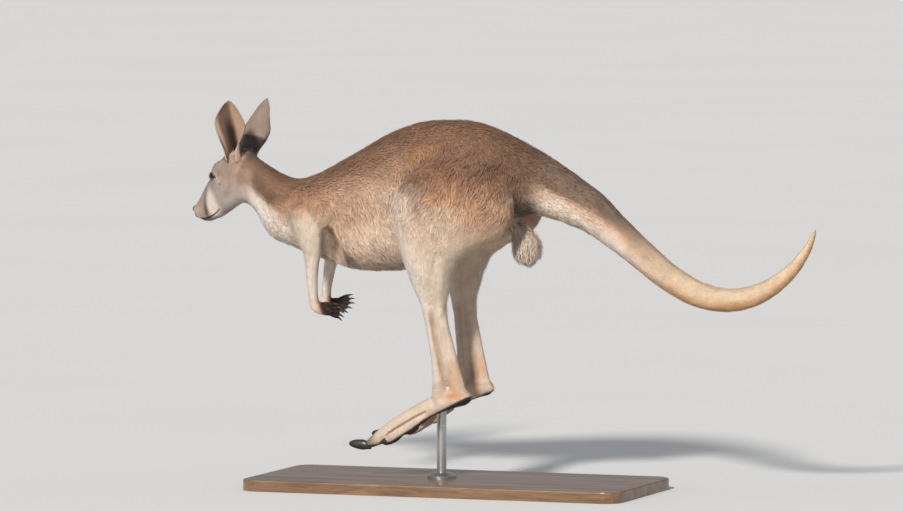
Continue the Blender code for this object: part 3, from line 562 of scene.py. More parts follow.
def near_muzzle(head):
    mouth = mouth_gap(head)[0] < 0.007
    return (head[:, 0] < -0.045) & (mouth | ((head[:, 0] < -0.132) & (head[:, 2] < 0.725)))


print("edges halved:", *(finer(skin, where) for where in (near_eyes(0.030), near_muzzle, near_eyes(0.0195))))

# %% [markdown]
# An eye looks alive because its lids lie on the ball. The upper edge arches more than the lower one, the rim
# of both is a little thicker than the rest, and a soft crease runs round them. Moving the skin's own points
# leaves no seam, as a separate lid would.

# %% Lids
# how far the lids stand off the ball, and how near a point must be to be drawn onto the opening's edge
LID, LID_EDGE = 0.0012, 0.00045
GAZE = unit(np.array((-0.16, 0.98, 0.06)))
EYE_LONG = unit(np.cross(np.array((0.24, 0.0, 0.97)), GAZE))
EYE_TALL = np.cross(GAZE, EYE_LONG)
EYE_HALF_LONG, EYE_UPPER, EYE_LOWER = 0.0106, 0.0056, 0.0048


def eye_frame(head):
    """Distance from the nearer eye's centre, and how far along and up over its ball from the pupil."""
    gap = mirrored(head, np.sign(head[:, 1])) - np.array(EYE_AT)
    far = np.maximum(np.linalg.norm(gap, axis=1), 1e-6)
    ways = gap / far[:, None]
    turned = np.arccos(np.clip(ways @ GAZE, -1.0, 1.0))
    flat = np.maximum(np.linalg.norm(np.column_stack((ways @ EYE_LONG, ways @ EYE_TALL)), axis=1), 1e-6)
    over = turned * EYE_RADIUS / flat
    return far, ways @ EYE_LONG * over, ways @ EYE_TALL * over


def over_ball(long, tall):
    """Directions from the eye's centre to the points that lie this far over the ball from the pupil."""
    turned = np.hypot(long, tall)
    aside = (EYE_LONG * long[:, None] + EYE_TALL * tall[:, None]) / np.maximum(turned, 1e-9)[:, None]
    return unit(GAZE * np.cos(turned / EYE_RADIUS)[:, None] + aside * np.sin(turned / EYE_RADIUS)[:, None])


def inside_lids(long, tall):
    """How far a point lies inside the opening, in metres; negative outside it."""
    share = np.clip(1.0 - (long / EYE_HALF_LONG) ** 2, 0.0, 1.0)
    upper = EYE_UPPER * share ** 0.80 - tall
    lower = EYE_LOWER * share ** 0.95 + tall
    past = np.maximum(np.abs(long) - EYE_HALF_LONG, 0.0)
    return np.where(past > 0.0, -np.hypot(past, tall), np.minimum(upper, lower))


def shape_lids(head):
    sides = np.sign(head[:, 1])
    far, long, tall = eye_frame(head)
    near = far < 0.040
    inside = inside_lids(long, tall)
    edge = near & (np.abs(inside) < LID_EDGE) & (np.abs(long) < EYE_HALF_LONG)
    tall = tall + np.where(edge, np.sign(tall) * inside, 0.0)
    ways = over_ball(long, tall)
    blend = ramp(0.0022, 0.0110, -inside)
    lid = EYE_RADIUS + LID + 0.0012 * np.exp(-((inside + 0.0022) / 0.0014) ** 2)
    wanted = lid * (1.0 - blend) + far * blend
    crease = 0.0011 * np.exp(-((inside + 0.0052) / 0.0012) ** 2)
    wanted -= crease
    wanted = np.where(inside > LID_EDGE, EYE_RADIUS - 0.0030, wanted)
    moved = np.array(EYE_AT) + ways * wanted[:, None]
    return np.where(near[:, None], mirrored(moved, sides), head)


# %% [markdown]
# The bare nose pad, the two nostrils and the long mouth are small changes in one surface. They are pressed
# in and pushed out by soft spots and lines measured in the head's own frame, a sculptor's way of working,
# and so the left and the right side match.

# %% Nose, lips and mouth
NOSTRIL = (-0.1500, 0.0088, 0.7090)


def nostril_gap(head):
    local = mirrored(head, np.sign(head[:, 1])) - np.array(NOSTRIL)
    lean = math.radians(-38.0)
    along_slit = local[:, 0] * math.cos(lean) + local[:, 2] * math.sin(lean)
    across_slit = -local[:, 0] * math.sin(lean) + local[:, 2] * math.cos(lean)
    return np.sqrt((along_slit / 0.0050) ** 2 + ((across_slit - 14.0 * along_slit ** 2) / 0.0021) ** 2
                   + (local[:, 1] / 0.0075) ** 2)


def shape_muzzle(head, normals):
    side = np.sign(head[:, 1])
    gap, share = mouth_gap(head)
    muzzle = ramp(-0.030, -0.045, head[:, 0])
    groove = np.exp(-(gap / 0.0011) ** 2) * muzzle * ramp(1.0, 0.93, share)
    lips = np.exp(-((gap - 0.0035) / 0.0022) ** 2) * muzzle * ramp(1.0, 0.8, share)
    head = head - normals * (0.0030 * groove)[:, None] + normals * (0.0007 * lips)[:, None]
    split = np.exp(-(head[:, 1] / 0.0011) ** 2) * ramp(0.690, 0.694, head[:, 2])
    split = split * ramp(0.712, 0.706, head[:, 2])
    split *= ramp(-0.125, -0.135, head[:, 0])
    bridge = spot(head, (-0.112, 0.0, 0.770), (0.030, 0.030, 0.030), 0.6)
    head = head + np.array((-0.0026, 0.0, 0.0022)) * bridge[:, None]
    chin = ramp(0.697, 0.684, head[:, 2]) * ramp(-0.020, -0.060, head[:, 0])
    head = head + np.array((0.0, 0.0, 0.0042)) * chin[:, None]
    head = head - normals * (0.0018 * split)[:, None]
    nostril = nostril_gap(head)
    hole = ramp(1.15, 0.45, nostril)
    rim = np.exp(-((nostril - 1.45) / 0.30) ** 2)
    inward = np.column_stack((np.full(len(head), 0.80), -0.55 * side, np.full(len(head), 0.15)))
    return head + inward * (0.0062 * hole)[:, None] + normals * (0.0006 * rim)[:, None]


def shape_face(thing):
    mesh = thing.data
    places = read_points(mesh)
    numbers = part_numbers(places)
    on_head = among(numbers, "head", "nose")
    head = into_head(places)
    normals = into_head(read_normals(mesh) + HEAD_AT)
    head = np.where(on_head[:, None], shape_muzzle(head, normals), head)
    head = np.where(on_head[:, None], shape_lids(head), head)
    write_points(mesh, out_of_head(head) + HEAD_AT)
    print("face shaped:", int(on_head.sum()), "points on the head")


shape_face(skin)

# %% [markdown]
# ## Folds of the body
# A furred body still shows where muscle passes under muscle: the front edge of the thigh over the flank, the
# hollow beside the heel cord, the split between the toes. Each is a line pressed into the skin to a soft
# depth.

# %% Press the folds
# name, line of x and z, half width, depth (negative for a ridge), range of y outwards
FOLDS = (
    ("thigh_front", ((-0.020, 0.872), (-0.075, 0.848), (-0.116, 0.803), (-0.135, 0.760), (-0.138, 0.715),
                     (-0.130, 0.665), (-0.117, 0.620)), 0.011, 0.0065, (0.03, 0.20)),
    ("thigh_crest", ((-0.010, 0.850), (-0.060, 0.826), (-0.097, 0.787), (-0.112, 0.745), (-0.112, 0.700)),
     0.014, -0.0030, (0.03, 0.20)),
    ("heel_cord", ((-0.026, 0.470), (-0.018, 0.400), (-0.006, 0.335), (0.004, 0.290), (0.010, 0.268)),
     0.0050, 0.0050, (0.02, 0.20)),
    ("knee_hollow", ((0.012, 0.640), (-0.008, 0.590), (-0.022, 0.545), (-0.026, 0.500)), 0.009, 0.0035,
     (0.06, 0.20)),
    ("outer_toe", ((-0.050, 0.211), (-0.086, 0.192), (-0.120, 0.171), (-0.152, 0.151)), 0.0032, 0.0034,
     (0.078, 0.20)),
    ("shoulder", ((-0.350, 0.800), (-0.322, 0.740), (-0.318, 0.680)), 0.022, 0.0035, (0.05, 0.20)),
    ("shoulder_front", ((-0.452, 0.770), (-0.446, 0.720), (-0.438, 0.665)), 0.016, 0.0030, (0.03, 0.20)),
    ("haunch", ((0.060, 0.800), (0.110, 0.770), (0.160, 0.735)), 0.020, 0.0030, (0.05, 0.20)),
)
# seams between parts that the real body doesn't show: line of x and z, half width, passes
BLENDS = (
    (((-0.020, 0.885), (0.040, 0.905), (0.110, 0.880), (0.165, 0.840), (0.195, 0.785)), 0.045, 90),
    (((-0.525, 0.880), (-0.540, 0.840), (-0.552, 0.785), (-0.566, 0.745)), 0.042, 110),
    (((-0.520, 0.860), (-0.480, 0.826), (-0.430, 0.815)), 0.032, 70),
    (((-0.060, 0.494), (0.030, 0.494)), 0.020, 16),
)


NAPE_PRESS = 0.008


def blend_seams(thing):
    """Presses the bump on the nape in, then evens the skin out in a band along each seam."""
    mesh = thing.data
    places = read_points(mesh)
    nape = spot(places, (-0.500, 0.0, 0.845), (0.055, 0.060, 0.045), 1.0)
    places = places - read_normals(mesh) * (NAPE_PRESS * nape)[:, None]
    for line, width, passes in BLENDS:
        gap = from_line(places[:, (0, 2)], line)[0]
        places = even_out(places, read_edges(mesh), halves(passes), ramp(width, width * 0.4, gap))
    write_points(mesh, places)


# fingers: spread in degrees and length of each, half width of the fan at the knuckles, roll of the hand
FINGERS = ((-34.0, 0.022), (-17.0, 0.028), (0.0, 0.031), (17.0, 0.028), (34.0, 0.022))
FINGER_FAN = 0.0150
HAND_ROLL = math.radians(48.0)
KNUCKLE = (-0.335, 0.069, 0.469)
BETWEEN_FINGERS, GROOVE_DEPTH, GROOVE_WIDTH = (-25.5, -8.5, 8.5, 25.5), 0.0026, 0.0019
# how far the far hand is ahead of the near one, and how steeply each hand's fingers rise
FAR_REACH, DROP = -0.024, {-1.0: -0.14, 1.0: 0.16}


def finger_line(spread, side):
    """Where a finger leaves the knuckles across the fan, and how much it spreads and drops on its way."""
    turn = math.radians(spread) * -side
    fan = FINGER_FAN * math.sin(turn) / math.sin(math.radians(FINGERS[-1][0]))
    return turn, fan, 0.6 * math.sin(turn)


def part_fingers(thing):
    """Presses a groove between each finger and the next, so that the hand isn't a mitten."""
    mesh = thing.data
    places, normals = read_points(mesh), read_normals(mesh)
    hands = among(part_numbers(places), "hand")
    for side in (-1.0, 1.0):
        level, upright = math.cos(HAND_ROLL), side * math.sin(HAND_ROLL)
        out = places[:, 0] - KNUCKLE[0] - (FAR_REACH if side > 0 else 0.0)
        across = (places[:, 1] - side * KNUCKLE[1]) * level + (places[:, 2] - KNUCKLE[2]) * upright
        for spread in BETWEEN_FINGERS:
            turn, fan, lean = finger_line(spread, side)
            gap = across - fan - out * (lean + DROP[side] * upright) / math.cos(turn)
            depth = GROOVE_DEPTH * np.exp(-(gap / GROOVE_WIDTH) ** 2) * ramp(-0.006, 0.006, out)
            places = places - normals * (depth * hands * (places[:, 1] * side > 0))[:, None]
    write_points(mesh, places)


def press_folds(thing):
    mesh = thing.data
    places, normals = read_points(mesh), read_normals(mesh)
    outwards = np.abs(places[:, 1])
    for _, line, width, depth, (nearest, farthest) in FOLDS:
        gap, share = from_line(places[:, (0, 2)], line)
        ends = ramp(0.0, 0.12, share) * ramp(1.0, 0.88, share)
        there = ramp(nearest - 0.01, nearest, outwards) * ramp(farthest, farthest - 0.01, outwards)
        places = places - normals * (depth * np.exp(-(gap / width) ** 2) * ends * there)[:, None]
    write_points(mesh, places)
    print("folds pressed:", ", ".join(fold[0] for fold in FOLDS))


blend_seams(skin)
part_fingers(skin)
press_folds(skin)

# %% [markdown]
# ## Ears
# A kangaroo's ear is a thin leaf, rolled into a tube at its foot. It is a flat grid whose rows are wrapped
# round the ear's own axis, given thickness, and united with the skin, so that no joint shows.

# %% Make and join the ears
EAR_THICK = 0.0019
# foot in the head's frame, length, lean outwards, lean back, turn outwards, bend
EARS = {-1.0: ((0.0000, -0.0347, 0.8511), 0.166, 19.5, 9.7, 99.5, -0.0081),
        1.0: ((-0.0103, 0.0281, 0.8469), 0.172, 23.6, 7.0, 99.2, -0.0043)}
# height along the ear, half width, depth of the cup, half angle that the wall wraps round
EAR_ROWS = {
    -1.0: np.array((
        (0.000, 0.0231, 0.0178, 150.0), (0.200, 0.0244, 0.0191, 136.0), (0.400, 0.0333, 0.0208, 110.0),
        (0.520, 0.0408, 0.0212, 96.0), (0.640, 0.0443, 0.0200, 87.0), (0.780, 0.0350, 0.0153, 80.0),
        (0.860, 0.0265, 0.0110, 76.0), (0.940, 0.0167, 0.0064, 70.0), (1.000, 0.0040, 0.0020, 62.0))),
    1.0: np.array((
        (0.000, 0.0222, 0.0170, 150.0), (0.200, 0.0276, 0.0184, 136.0), (0.400, 0.0405, 0.0200, 110.0),
        (0.520, 0.0438, 0.0203, 96.0), (0.640, 0.0360, 0.0190, 87.0), (0.780, 0.0262, 0.0146, 80.0),
        (0.860, 0.0212, 0.0105, 76.0), (0.940, 0.0125, 0.0061, 70.0), (1.000, 0.0036, 0.0020, 62.0))),
}


def ear_matrix(side):
    lean_out, lean_back, turn_out = EARS[side][2:5]
    spin = Matrix.Rotation(math.radians(-90.0 - side * turn_out), 3, "Z")
    lean = Matrix.Rotation(math.radians(-side * lean_out), 3, "X")
    back = Matrix.Rotation(math.radians(lean_back), 3, "Y")
    return np.array(back @ lean @ spin)


def into_ear(places, side):
    """World points in an ear's own frame: across, through (the cup opens towards -y) and up the ear."""
    return (into_head(places) - np.array(EARS[side][0])) @ ear_matrix(side)


def ear_wall(height, side):
    """Half width, depth and wrap of the wall at a share of the ear's length, on a smooth curve."""
    rows = EAR_ROWS[side]
    slopes = np.gradient(rows, rows[:, 0], axis=0)
    i = np.clip(np.searchsorted(rows[:, 0], height, side="right") - 1, 0, len(rows) - 2)
    span = rows[i + 1, 0] - rows[i, 0]
    t = ((height - rows[i, 0]) / span)[:, None]
    span = span[:, None]
    return (rows[i] * (2 * t**3 - 3 * t**2 + 1) + slopes[i] * span * (t**3 - 2 * t**2 + t)
            + rows[i + 1] * (3 * t**2 - 2 * t**3) + slopes[i + 1] * span * (t**3 - t**2))[:, 1:]


def make_ear(side):
    work = bmesh.new()
    bmesh.ops.create_grid(work, x_segments=26, y_segments=44, size=0.5)
    ear = from_bmesh("ear", work)
    flat = read_points(ear.data)
    across, height = flat[:, 0] * 2.0, np.clip(flat[:, 1] + 0.5, 0.0, 1.0)
    foot, length, bend = EARS[side][0], EARS[side][1], EARS[side][5]
    half_wide, depth, wrap = ear_wall(height, side).T
    angle = np.radians(wrap) * across
    edge = 0.0012 * ramp(0.75, 1.0, np.abs(across)) * np.sin(height * math.pi)
    shape = np.column_stack((half_wide * np.sin(angle),
                             depth * np.cos(angle) + bend * np.sin(math.pi * height) - edge, length * height))
    write_points(ear.data, out_of_head(shape @ ear_matrix(side).T + np.array(foot)) + HEAD_AT)
    wall = ear.modifiers.new("wall", "SOLIDIFY")
    wall.thickness = EAR_THICK
    wall.offset = 0.0
    settle(ear)
    with edited(ear.data) as work:
        bmesh.ops.recalc_face_normals(work, faces=work.faces)
        bmesh.ops.triangulate(work, faces=work.faces)
    return ear


def join_ears(thing):
    for side in (-1.0, 1.0):
        ear = make_ear(side)
        unite = thing.modifiers.new("unite", "BOOLEAN")
        unite.operation = "UNION"
        unite.solver = "EXACT"
        unite.object = ear
        settle(thing)
        discard(ear)
    with edited(thing.data) as work:
        bmesh.ops.triangulate(work, faces=work.faces)
        bmesh.ops.holes_fill(work, edges=[edge for edge in work.edges if edge.is_boundary], sides=6)
        bmesh.ops.triangulate(work, faces=[face for face in work.faces if len(face.verts) > 3])
        open_edges = sum(not edge.is_manifold for edge in work.edges)
    print("ears joined:", len(thing.data.polygons), "triangles,", open_edges, "open edges")


join_ears(skin)

# %% [markdown]
# ## Reading the finished skin
# From here on the shape is settled. Each point gets its part, its side and its place along its guide, and
# the lie of the coat: the guide's own direction, sagging on the flanks, evened out so that it flows from
# part to part without a break.

# %% Places, parts and sides
SHAPE = skin.data
POINTS, NORMALS = read_points(SHAPE), read_normals(SHAPE)
EDGES, TRIANGLES = read_edges(SHAPE), read_triangles(SHAPE)
PARTS = part_numbers(POINTS)
HEAD_POINTS = into_head(POINTS)
ON_HEAD, ON_EAR = among(PARTS, "head", "nose", "ear"), among(PARTS, "ear")
SIDES = np.where(ON_HEAD, np.where(HEAD_POINTS[:, 1] < 0, -1.0, 1.0), np.where(POINTS[:, 1] < 0, -1.0, 1.0))


def part_mask(*names):
    return among(PARTS, *names)


def soft_mask(*names, passes=14):
    return even_out(part_mask(*names).astype(RAW), EDGES, halves(passes))


def guided(places, numbers, sides):
    """Distance along, angle round and distance off each point's own guide, and the guide's way there."""
    travelled, angle, off = np.zeros((3, len(places)))
    way = np.zeros_like(places)
    for guide in GUIDES:
        chosen = among(numbers, *(name for name, own in GUIDE_OF.items() if own == guide))
        local = into_head(places[chosen]) if guide == "face" else places[chosen]
        found = along(guide, mirrored(local, sides[chosen]))
        travelled[chosen], angle[chosen], off[chosen] = found[:3]
        ways = mirrored(found[3], sides[chosen])
        way[chosen] = out_of_head(ways) if guide == "face" else ways
    for side in (-1.0, 1.0):
        chosen = among(numbers, "ear") & (sides == side)
        local = into_ear(places[chosen], side)
        travelled[chosen] = local[:, 2]
        angle[chosen] = np.degrees(np.arctan2(local[:, 0], local[:, 1] + 0.010))
        off[chosen] = np.hypot(local[:, 0], local[:, 1])
        way[chosen] = out_of_head(np.tile(ear_matrix(side)[:, 2], (int(chosen.sum()), 1)))
    return travelled, angle, off, way


TRAVELLED, ANGLE, OFF_GUIDE, WAY = guided(POINTS, PARTS, SIDES)
print("points of each part:", dict(zip(FLESH, np.bincount(PARTS, minlength=len(FLESH)).tolist())))

# %% [markdown]
# Fur is combed by growth: back along the body, down the limbs, away from the nose on the face. Each point
# takes its direction from its own part's guide line, then sags and swirls a little. One wind direction for
# all would look like a toy's plush.

# %% Lie of the coat
# how far the coat sags from its guide's way, and how much it swirls
SAG = {"trunk": 0.60, "neck": 0.35, "thigh": 0.20, "tail_root": 0.12, "head": 0.10}
SWIRL = {"trunk": 0.34, "neck": 0.28, "thigh": 0.55, "tail_root": 0.35, "tail_upper": 0.20, "scrotum": 0.4,
         "upper_arm": 0.15, "shank": 0.10, "head": 0.12}


def tangent_to(vectors, normals):
    return unit(vectors - normals * (vectors * normals).sum(axis=1)[:, None])


def lie_of_coat():
    steep = 1.0 - np.abs(NORMALS[:, 2])
    sag = lookup(PARTS, SAG) * steep
    x, z = POINTS[:, 0], POINTS[:, 2]
    flank = part_mask("trunk") * ramp(-0.40, -0.30, x) * ramp(-0.08, -0.16, x) * ramp(0.78, 0.70, z)
    rump = part_mask("thigh", "trunk") * ramp(0.00, 0.08, x)
    sag = sag + 1.5 * flank + 0.5 * rump
    lie = WAY + np.array((0.0, 0.0, -1.0)) * sag[:, None]
    lie = tangent_to(lie, NORMALS)
    for _ in range(4):
        lie = tangent_to(even_out(lie, EDGES, halves(8)), NORMALS)
    turn = even_out(lookup(PARTS, SWIRL), EDGES, halves(10))
    turn = turn * (0.75 * ripple(POINTS, 0.045, 3) + 0.55 * ripple(POINTS, 0.018, 4))
    across = np.cross(NORMALS, lie)
    return unit(lie * np.cos(turn)[:, None] + across * np.sin(turn)[:, None])


LIE = lie_of_coat()

# %% [markdown]
# ## Markings
# A red kangaroo is tan over the back, rustier where the under-fur shows, and cream below, on the legs and
# towards the tip of the tail. The face has a dark bar beside the nose with a white band behind it. Each mark
# is laid over the last with a soft edge, as with an airbrush, from a short list of named paints. A few marks
# are painted shade and light: in the armpits, the hollow under the tail, the creases at the heel and toe, the
# cups and feet of the ears, and under the tail's root. Skin and coat are painted by the same function of
# place, so they always agree.

# %% Paints
# Some paints stand in for light and shade: the near-black for the shadow at the ears' feet, the inner tan and
# brown of the ear for its lit and shaded walls, and the sooty paint partly for shade under the tail.
PAINTS = {name: paint_light(*colour) for name, colour in {
    "back": (138, 104, 84), "flank": (182, 148, 125), "low_flank": (224, 195, 172), "belly": (196, 172, 152),
    "cream": (222, 203, 184), "white": (238, 227, 217), "rust": (196, 142, 98), "rump": (110, 85, 68),
    "grey": (130, 109, 94), "shoulder": (178, 138, 110), "nape": (100, 76, 61), "face": (168, 147, 136),
    "ivory": (228, 202, 172), "tan_tip": (208, 158, 108), "dark": (40, 28, 21), "soot": (60, 46, 42),
    "pink": (214, 186, 168), "ear_back": (146, 127, 113), "ear_in": (110, 87, 71), "ear_tan": (182, 147, 122),
    "night": (28, 26, 36), "heel": (205, 152, 112), "bridge": (204, 168, 144), "sac": (208, 188, 172),
}.items()}


def lay(colour, **covers):
    """Lays paints over a colour in turn; each paint's name comes with how far it covers every point."""
    for paint, cover in covers.items():
        colour = colour + (PAINTS[paint] - colour) * np.clip(cover, 0.0, 1.0)[:, None]
    return colour


def all_over(paint, places):
    return np.tile(PAINTS[paint], (len(places), 1))


def lay_marks(colour, places, marks, noise=0.0):
    """Lays soft oval marks in turn: paint, strength, middle, radii, softness and lean of each. A last pair
    makes a mark uneven: its steady share, and the share that goes up and down with the noise."""
    for paint, strength, middle, radii, soft, lean, *uneven in marks:
        steady, change = uneven or (1.0, 0.0)
        cover = strength * spot(places, middle, radii, soft, lean)
        colour = lay(colour, **{paint: cover * (steady + change * noise)})
    return colour


SOLE = np.array(((-0.260, 0.112), (-0.195, 0.119), (-0.148, 0.127), (-0.126, 0.140), (-0.084, 0.167),
                 (-0.051, 0.192), (-0.001, 0.218), (0.062, 0.250), (0.100, 0.262)))


def sole_line(x):
    """Height at which the fur of a foot's side ends and the bare sole begins."""
    return np.interp(x, SOLE[:, 0], SOLE[:, 1])


LINES = {fold[0]: fold[1] for fold in FOLDS}
BODY_MARKS = (
    ("rump", 0.95, (0.20, 0.06, 0.84), (0.16, 0.12, 0.07), 0.6, -18),
    ("shoulder", 0.8, (-0.43, 0.09, 0.755), (0.10, 0.09, 0.055), 0.6, 10),
    ("back", 0.5, (-0.47, 0.0, 0.82), (0.10, 0.05, 0.045), 0.6, -30),
    ("rust", 0.75, (-0.07, 0.11, 0.875), (0.055, 0.09, 0.024), 0.7, 28, 0.6, 0.5),
    # the next two marks are painted shade in the armpit, behind the arm, where the arm's shadow falls
    ("nape", 0.75, (-0.325, 0.085, 0.645), (0.018, 0.07, 0.050), 0.7, -12),
    ("nape", 0.6, (-0.284, 0.085, 0.604), (0.024, 0.07, 0.022), 0.7, 0),
    ("back", 0.7, (-0.400, 0.08, 0.790), (0.055, 0.08, 0.030), 0.7, 0),
)
THIGH_MARKS = (
    ("rust", 0.30, (0.03, 0.13, 0.77), (0.12, 0.10, 0.060), 0.6, -12, 0.8, 0.6),
    ("rust", 0.65, (0.006, 0.13, 0.776), (0.050, 0.10, 0.020), 0.7, 10, 0.8, 0.8),
    ("rust", 0.65, (0.078, 0.13, 0.735), (0.055, 0.10, 0.026), 0.7, 0, 0.8, 0.8),
    ("rust", 0.65, (0.150, 0.12, 0.820), (0.034, 0.10, 0.016), 0.7, 20, 0.8, 0.8),
    ("grey", 0.60, (-0.063, 0.13, 0.776), (0.040, 0.10, 0.034), 0.6, 20),
    ("rump", 0.80, (0.175, 0.10, 0.840), (0.07, 0.10, 0.050), 0.6, 0),
)
THIGH_EDGE_MARKS = (
    ("flank", 0.35, (0.020, 0.12, 0.695), (0.110, 0.10, 0.050), 0.7, 10),
    ("cream", 0.85, (-0.120, 0.11, 0.715), (0.030, 0.10, 0.080), 0.5, 6),
)
FACE_MARKS = (
    ("nape", 0.75, (0.050, 0.0, 0.850), (0.034, 0.07, 0.040), 0.6, 40),
    ("shoulder", 0.5, (0.030, 0.045, 0.820), (0.026, 0.04, 0.040), 0.6, 20),
    ("bridge", 0.8, (-0.105, 0.0, 0.775), (0.050, 0.016, 0.018), 0.7, 56),
    ("nape", 0.3, (-0.098, 0.022, 0.790), (0.024, 0.008, 0.010), 0.7, 56),
    ("white", 0.45, (0.000, 0.03, 0.740), (0.060, 0.05, 0.026), 0.6, 28),
    ("white", 0.85, (-0.076, 0.03, 0.728), (0.019, 0.04, 0.040), 0.45, 14),
    ("white", 0.15, (-0.045, 0.045, 0.772), (0.034, 0.03, 0.018), 0.6, 40),
)
MUZZLE_MARKS = (
    ("pink", 0.6, (-0.130, 0.0, 0.706), (0.020, 0.03, 0.018), 0.5, 0),
    ("face", 0.7, (-0.110, 0.0, 0.686), (0.030, 0.03, 0.008), 0.5, 0),
    ("nape", 0.45, (-0.075, 0.0, 0.674), (0.050, 0.03, 0.012), 0.6, 25),
    ("soot", 0.75, (-0.040, 0.048, 0.786), (0.0045, 0.02, 0.0030), 0.7, -45),
)


def paint_body(places, masks, angle, noise, broad_noise):
    """Trunk, neck and tail, then the limbs. Masks hold how much each point belongs to each part."""
    world = mirrored(places, np.sign(places[:, 1]))
    x, y, z = world.T
    height = np.sin(np.radians(angle)) + 0.10 * broad_noise
    colour = lay(all_over("flank", places), back=ramp(0.30, 0.95, height) * (x < 0.5),
                 low_flank=ramp(-0.10, -0.55, height), belly=ramp(-0.60, -0.95, height))
    colour = lay_marks(colour, world, BODY_MARKS, noise)
    # neck: dark nape, pale throat
    neck = masks["neck"]
    throat = 0.8 * spot(world, (-0.455, 0.03, 0.655), (0.060, 0.075, 0.050), 0.5, -40)
    colour = lay(colour, nape=neck * (0.88 - 0.62 * ramp(0.3, 0.9, height)) * ramp(-0.32, 0.10, height),
                 white=neck * ramp(0.02, -0.42, height))
    colour = lay(colour, white=throat)
    # tail: grey above at its root, ivory further out, tan underneath; the white under its root is partly its
    # own pale colour and partly painted light against the shade there
    tail = masks["tail"]
    out = ramp(0.42, 0.66, x)
    colour = lay(colour, grey=tail * (1 - out) * ramp(0.10, 0.80, height),
                 low_flank=tail * (1 - out) * ramp(0.40, -0.05, height),
                 white=0.7 * tail * (1 - out) * ramp(-0.05, -0.45, height), ivory=tail * out,
                 cream=tail * ramp(0.50, 0.36, x) * ramp(-0.35, -0.80, height),
                 tan_tip=tail * out * 0.85 * ramp(-0.15, -0.85, height))
    colour = lay(colour, tan_tip=tail * 0.30 * ramp(0.62, 0.72, x) * ramp(0.3, -0.3, height))
    # thigh: tan above, cream below, with rusty and grey patches and a whitish front edge
    thigh = lay(all_over("flank", places), back=ramp(0.73, 0.84, z))
    thigh = lay_marks(thigh, world, THIGH_MARKS, noise)
    thigh = lay(thigh, cream=ramp(0.79, 0.67, z + 0.45 * x + 0.03 * broad_noise))
    thigh = lay_marks(thigh, world, THIGH_EDGE_MARKS)
    colour = colour + (thigh - colour) * masks["thigh"][:, None]
    # shank: white in front, darker on its inner side, rusty above the heel; a darker tan along the heel cord
    # is painted shade in its hollow
    shank = masks["shank"]
    cord, groove = (from_line(world[:, (0, 2)], LINES[name])[0] for name in ("heel_cord", "outer_toe"))
    colour = lay(colour, cream=shank, white=shank * 0.6 * ramp(-0.015, -0.040, x + (z - 0.4) * 0.1),
                 low_flank=shank * 0.5 * ramp(0.095, 0.060, y + (z - 0.3) * -0.08),
                 heel=shank * 0.55 * spot(world, (0.030, 0.085, 0.30), (0.022, 0.05, 0.055), 0.6),
                 shoulder=0.55 * shank * ramp(0.0110, 0.0030, cord) * ramp(0.080, 0.095, y))
    # foot: cream with a rusty heel, painted shade in the groove before the outer toe, a dark sole and a sooty
    # tip
    foot = masks["foot"]
    colour = lay(colour, cream=foot, flank=0.25 * foot,
                 heel=foot * spot(world, (0.035, 0.09, 0.262), (0.030, 0.03, 0.016), 0.6, 25),
                 nape=0.75 * foot * ramp(0.0050, 0.0015, groove) * ramp(0.070, 0.080, y),
                 dark=foot * ramp(0.004, -0.002, z - sole_line(x)),
                 soot=foot * 0.75 * ramp(-0.178, -0.212, x))
    # arm and hand: cream, then rusty at the wrist and nearly black beyond it
    arm, hand = masks["arm"], masks["hand"]
    reach = x - FAR_REACH * (places[:, 1] > 0)
    colour = lay(colour, cream=arm * ramp(0.745, 0.690, z), white=0.5 * arm * ramp(0.64, 0.58, z))
    colour = lay(colour, cream=hand, rust=0.5 * hand * ramp(-0.372, -0.356, reach),
                 dark=hand * ramp(-0.356, -0.340, reach + 0.4 * (z - KNUCKLE[2])),
                 grey=0.10 * hand * ramp(-0.2, 0.9, noise) * ramp(-0.345, -0.330, reach))
    # sac, and painted shade in the hollow under the tail, where the thigh's shadow falls
    hollow = 0.85 * spot(world, (0.190, 0.04, 0.745), (0.042, 0.05, 0.045), 0.6, -30)
    return lay(colour, sac=masks["scrotum"], soot=hollow * (1 - masks["scrotum"]))


def paint_head(places):
    """The head without its ears, in its own frame."""
    head = into_head(places)
    local = mirrored(head, np.sign(head[:, 1]))
    colour = lay_marks(all_over("face", places), local, FACE_MARKS)
    bar = 0.45 + 0.35 * ramp(0.745, 0.705, local[:, 2])
    colour = lay(colour, soot=bar * spot(local, (-0.1010, 0.03, 0.730), (0.0066, 0.04, 0.044), 0.6, 4))
    colour = lay_marks(colour, local, MUZZLE_MARKS)
    for side in (-1.0, 1.0):
        foot = np.array(EARS[side][0]) + (-0.004, 0.0, 0.016)
        colour = lay(colour, pink=0.95 * spot(head, foot, (0.030, 0.022, 0.020), 0.5))
    return colour


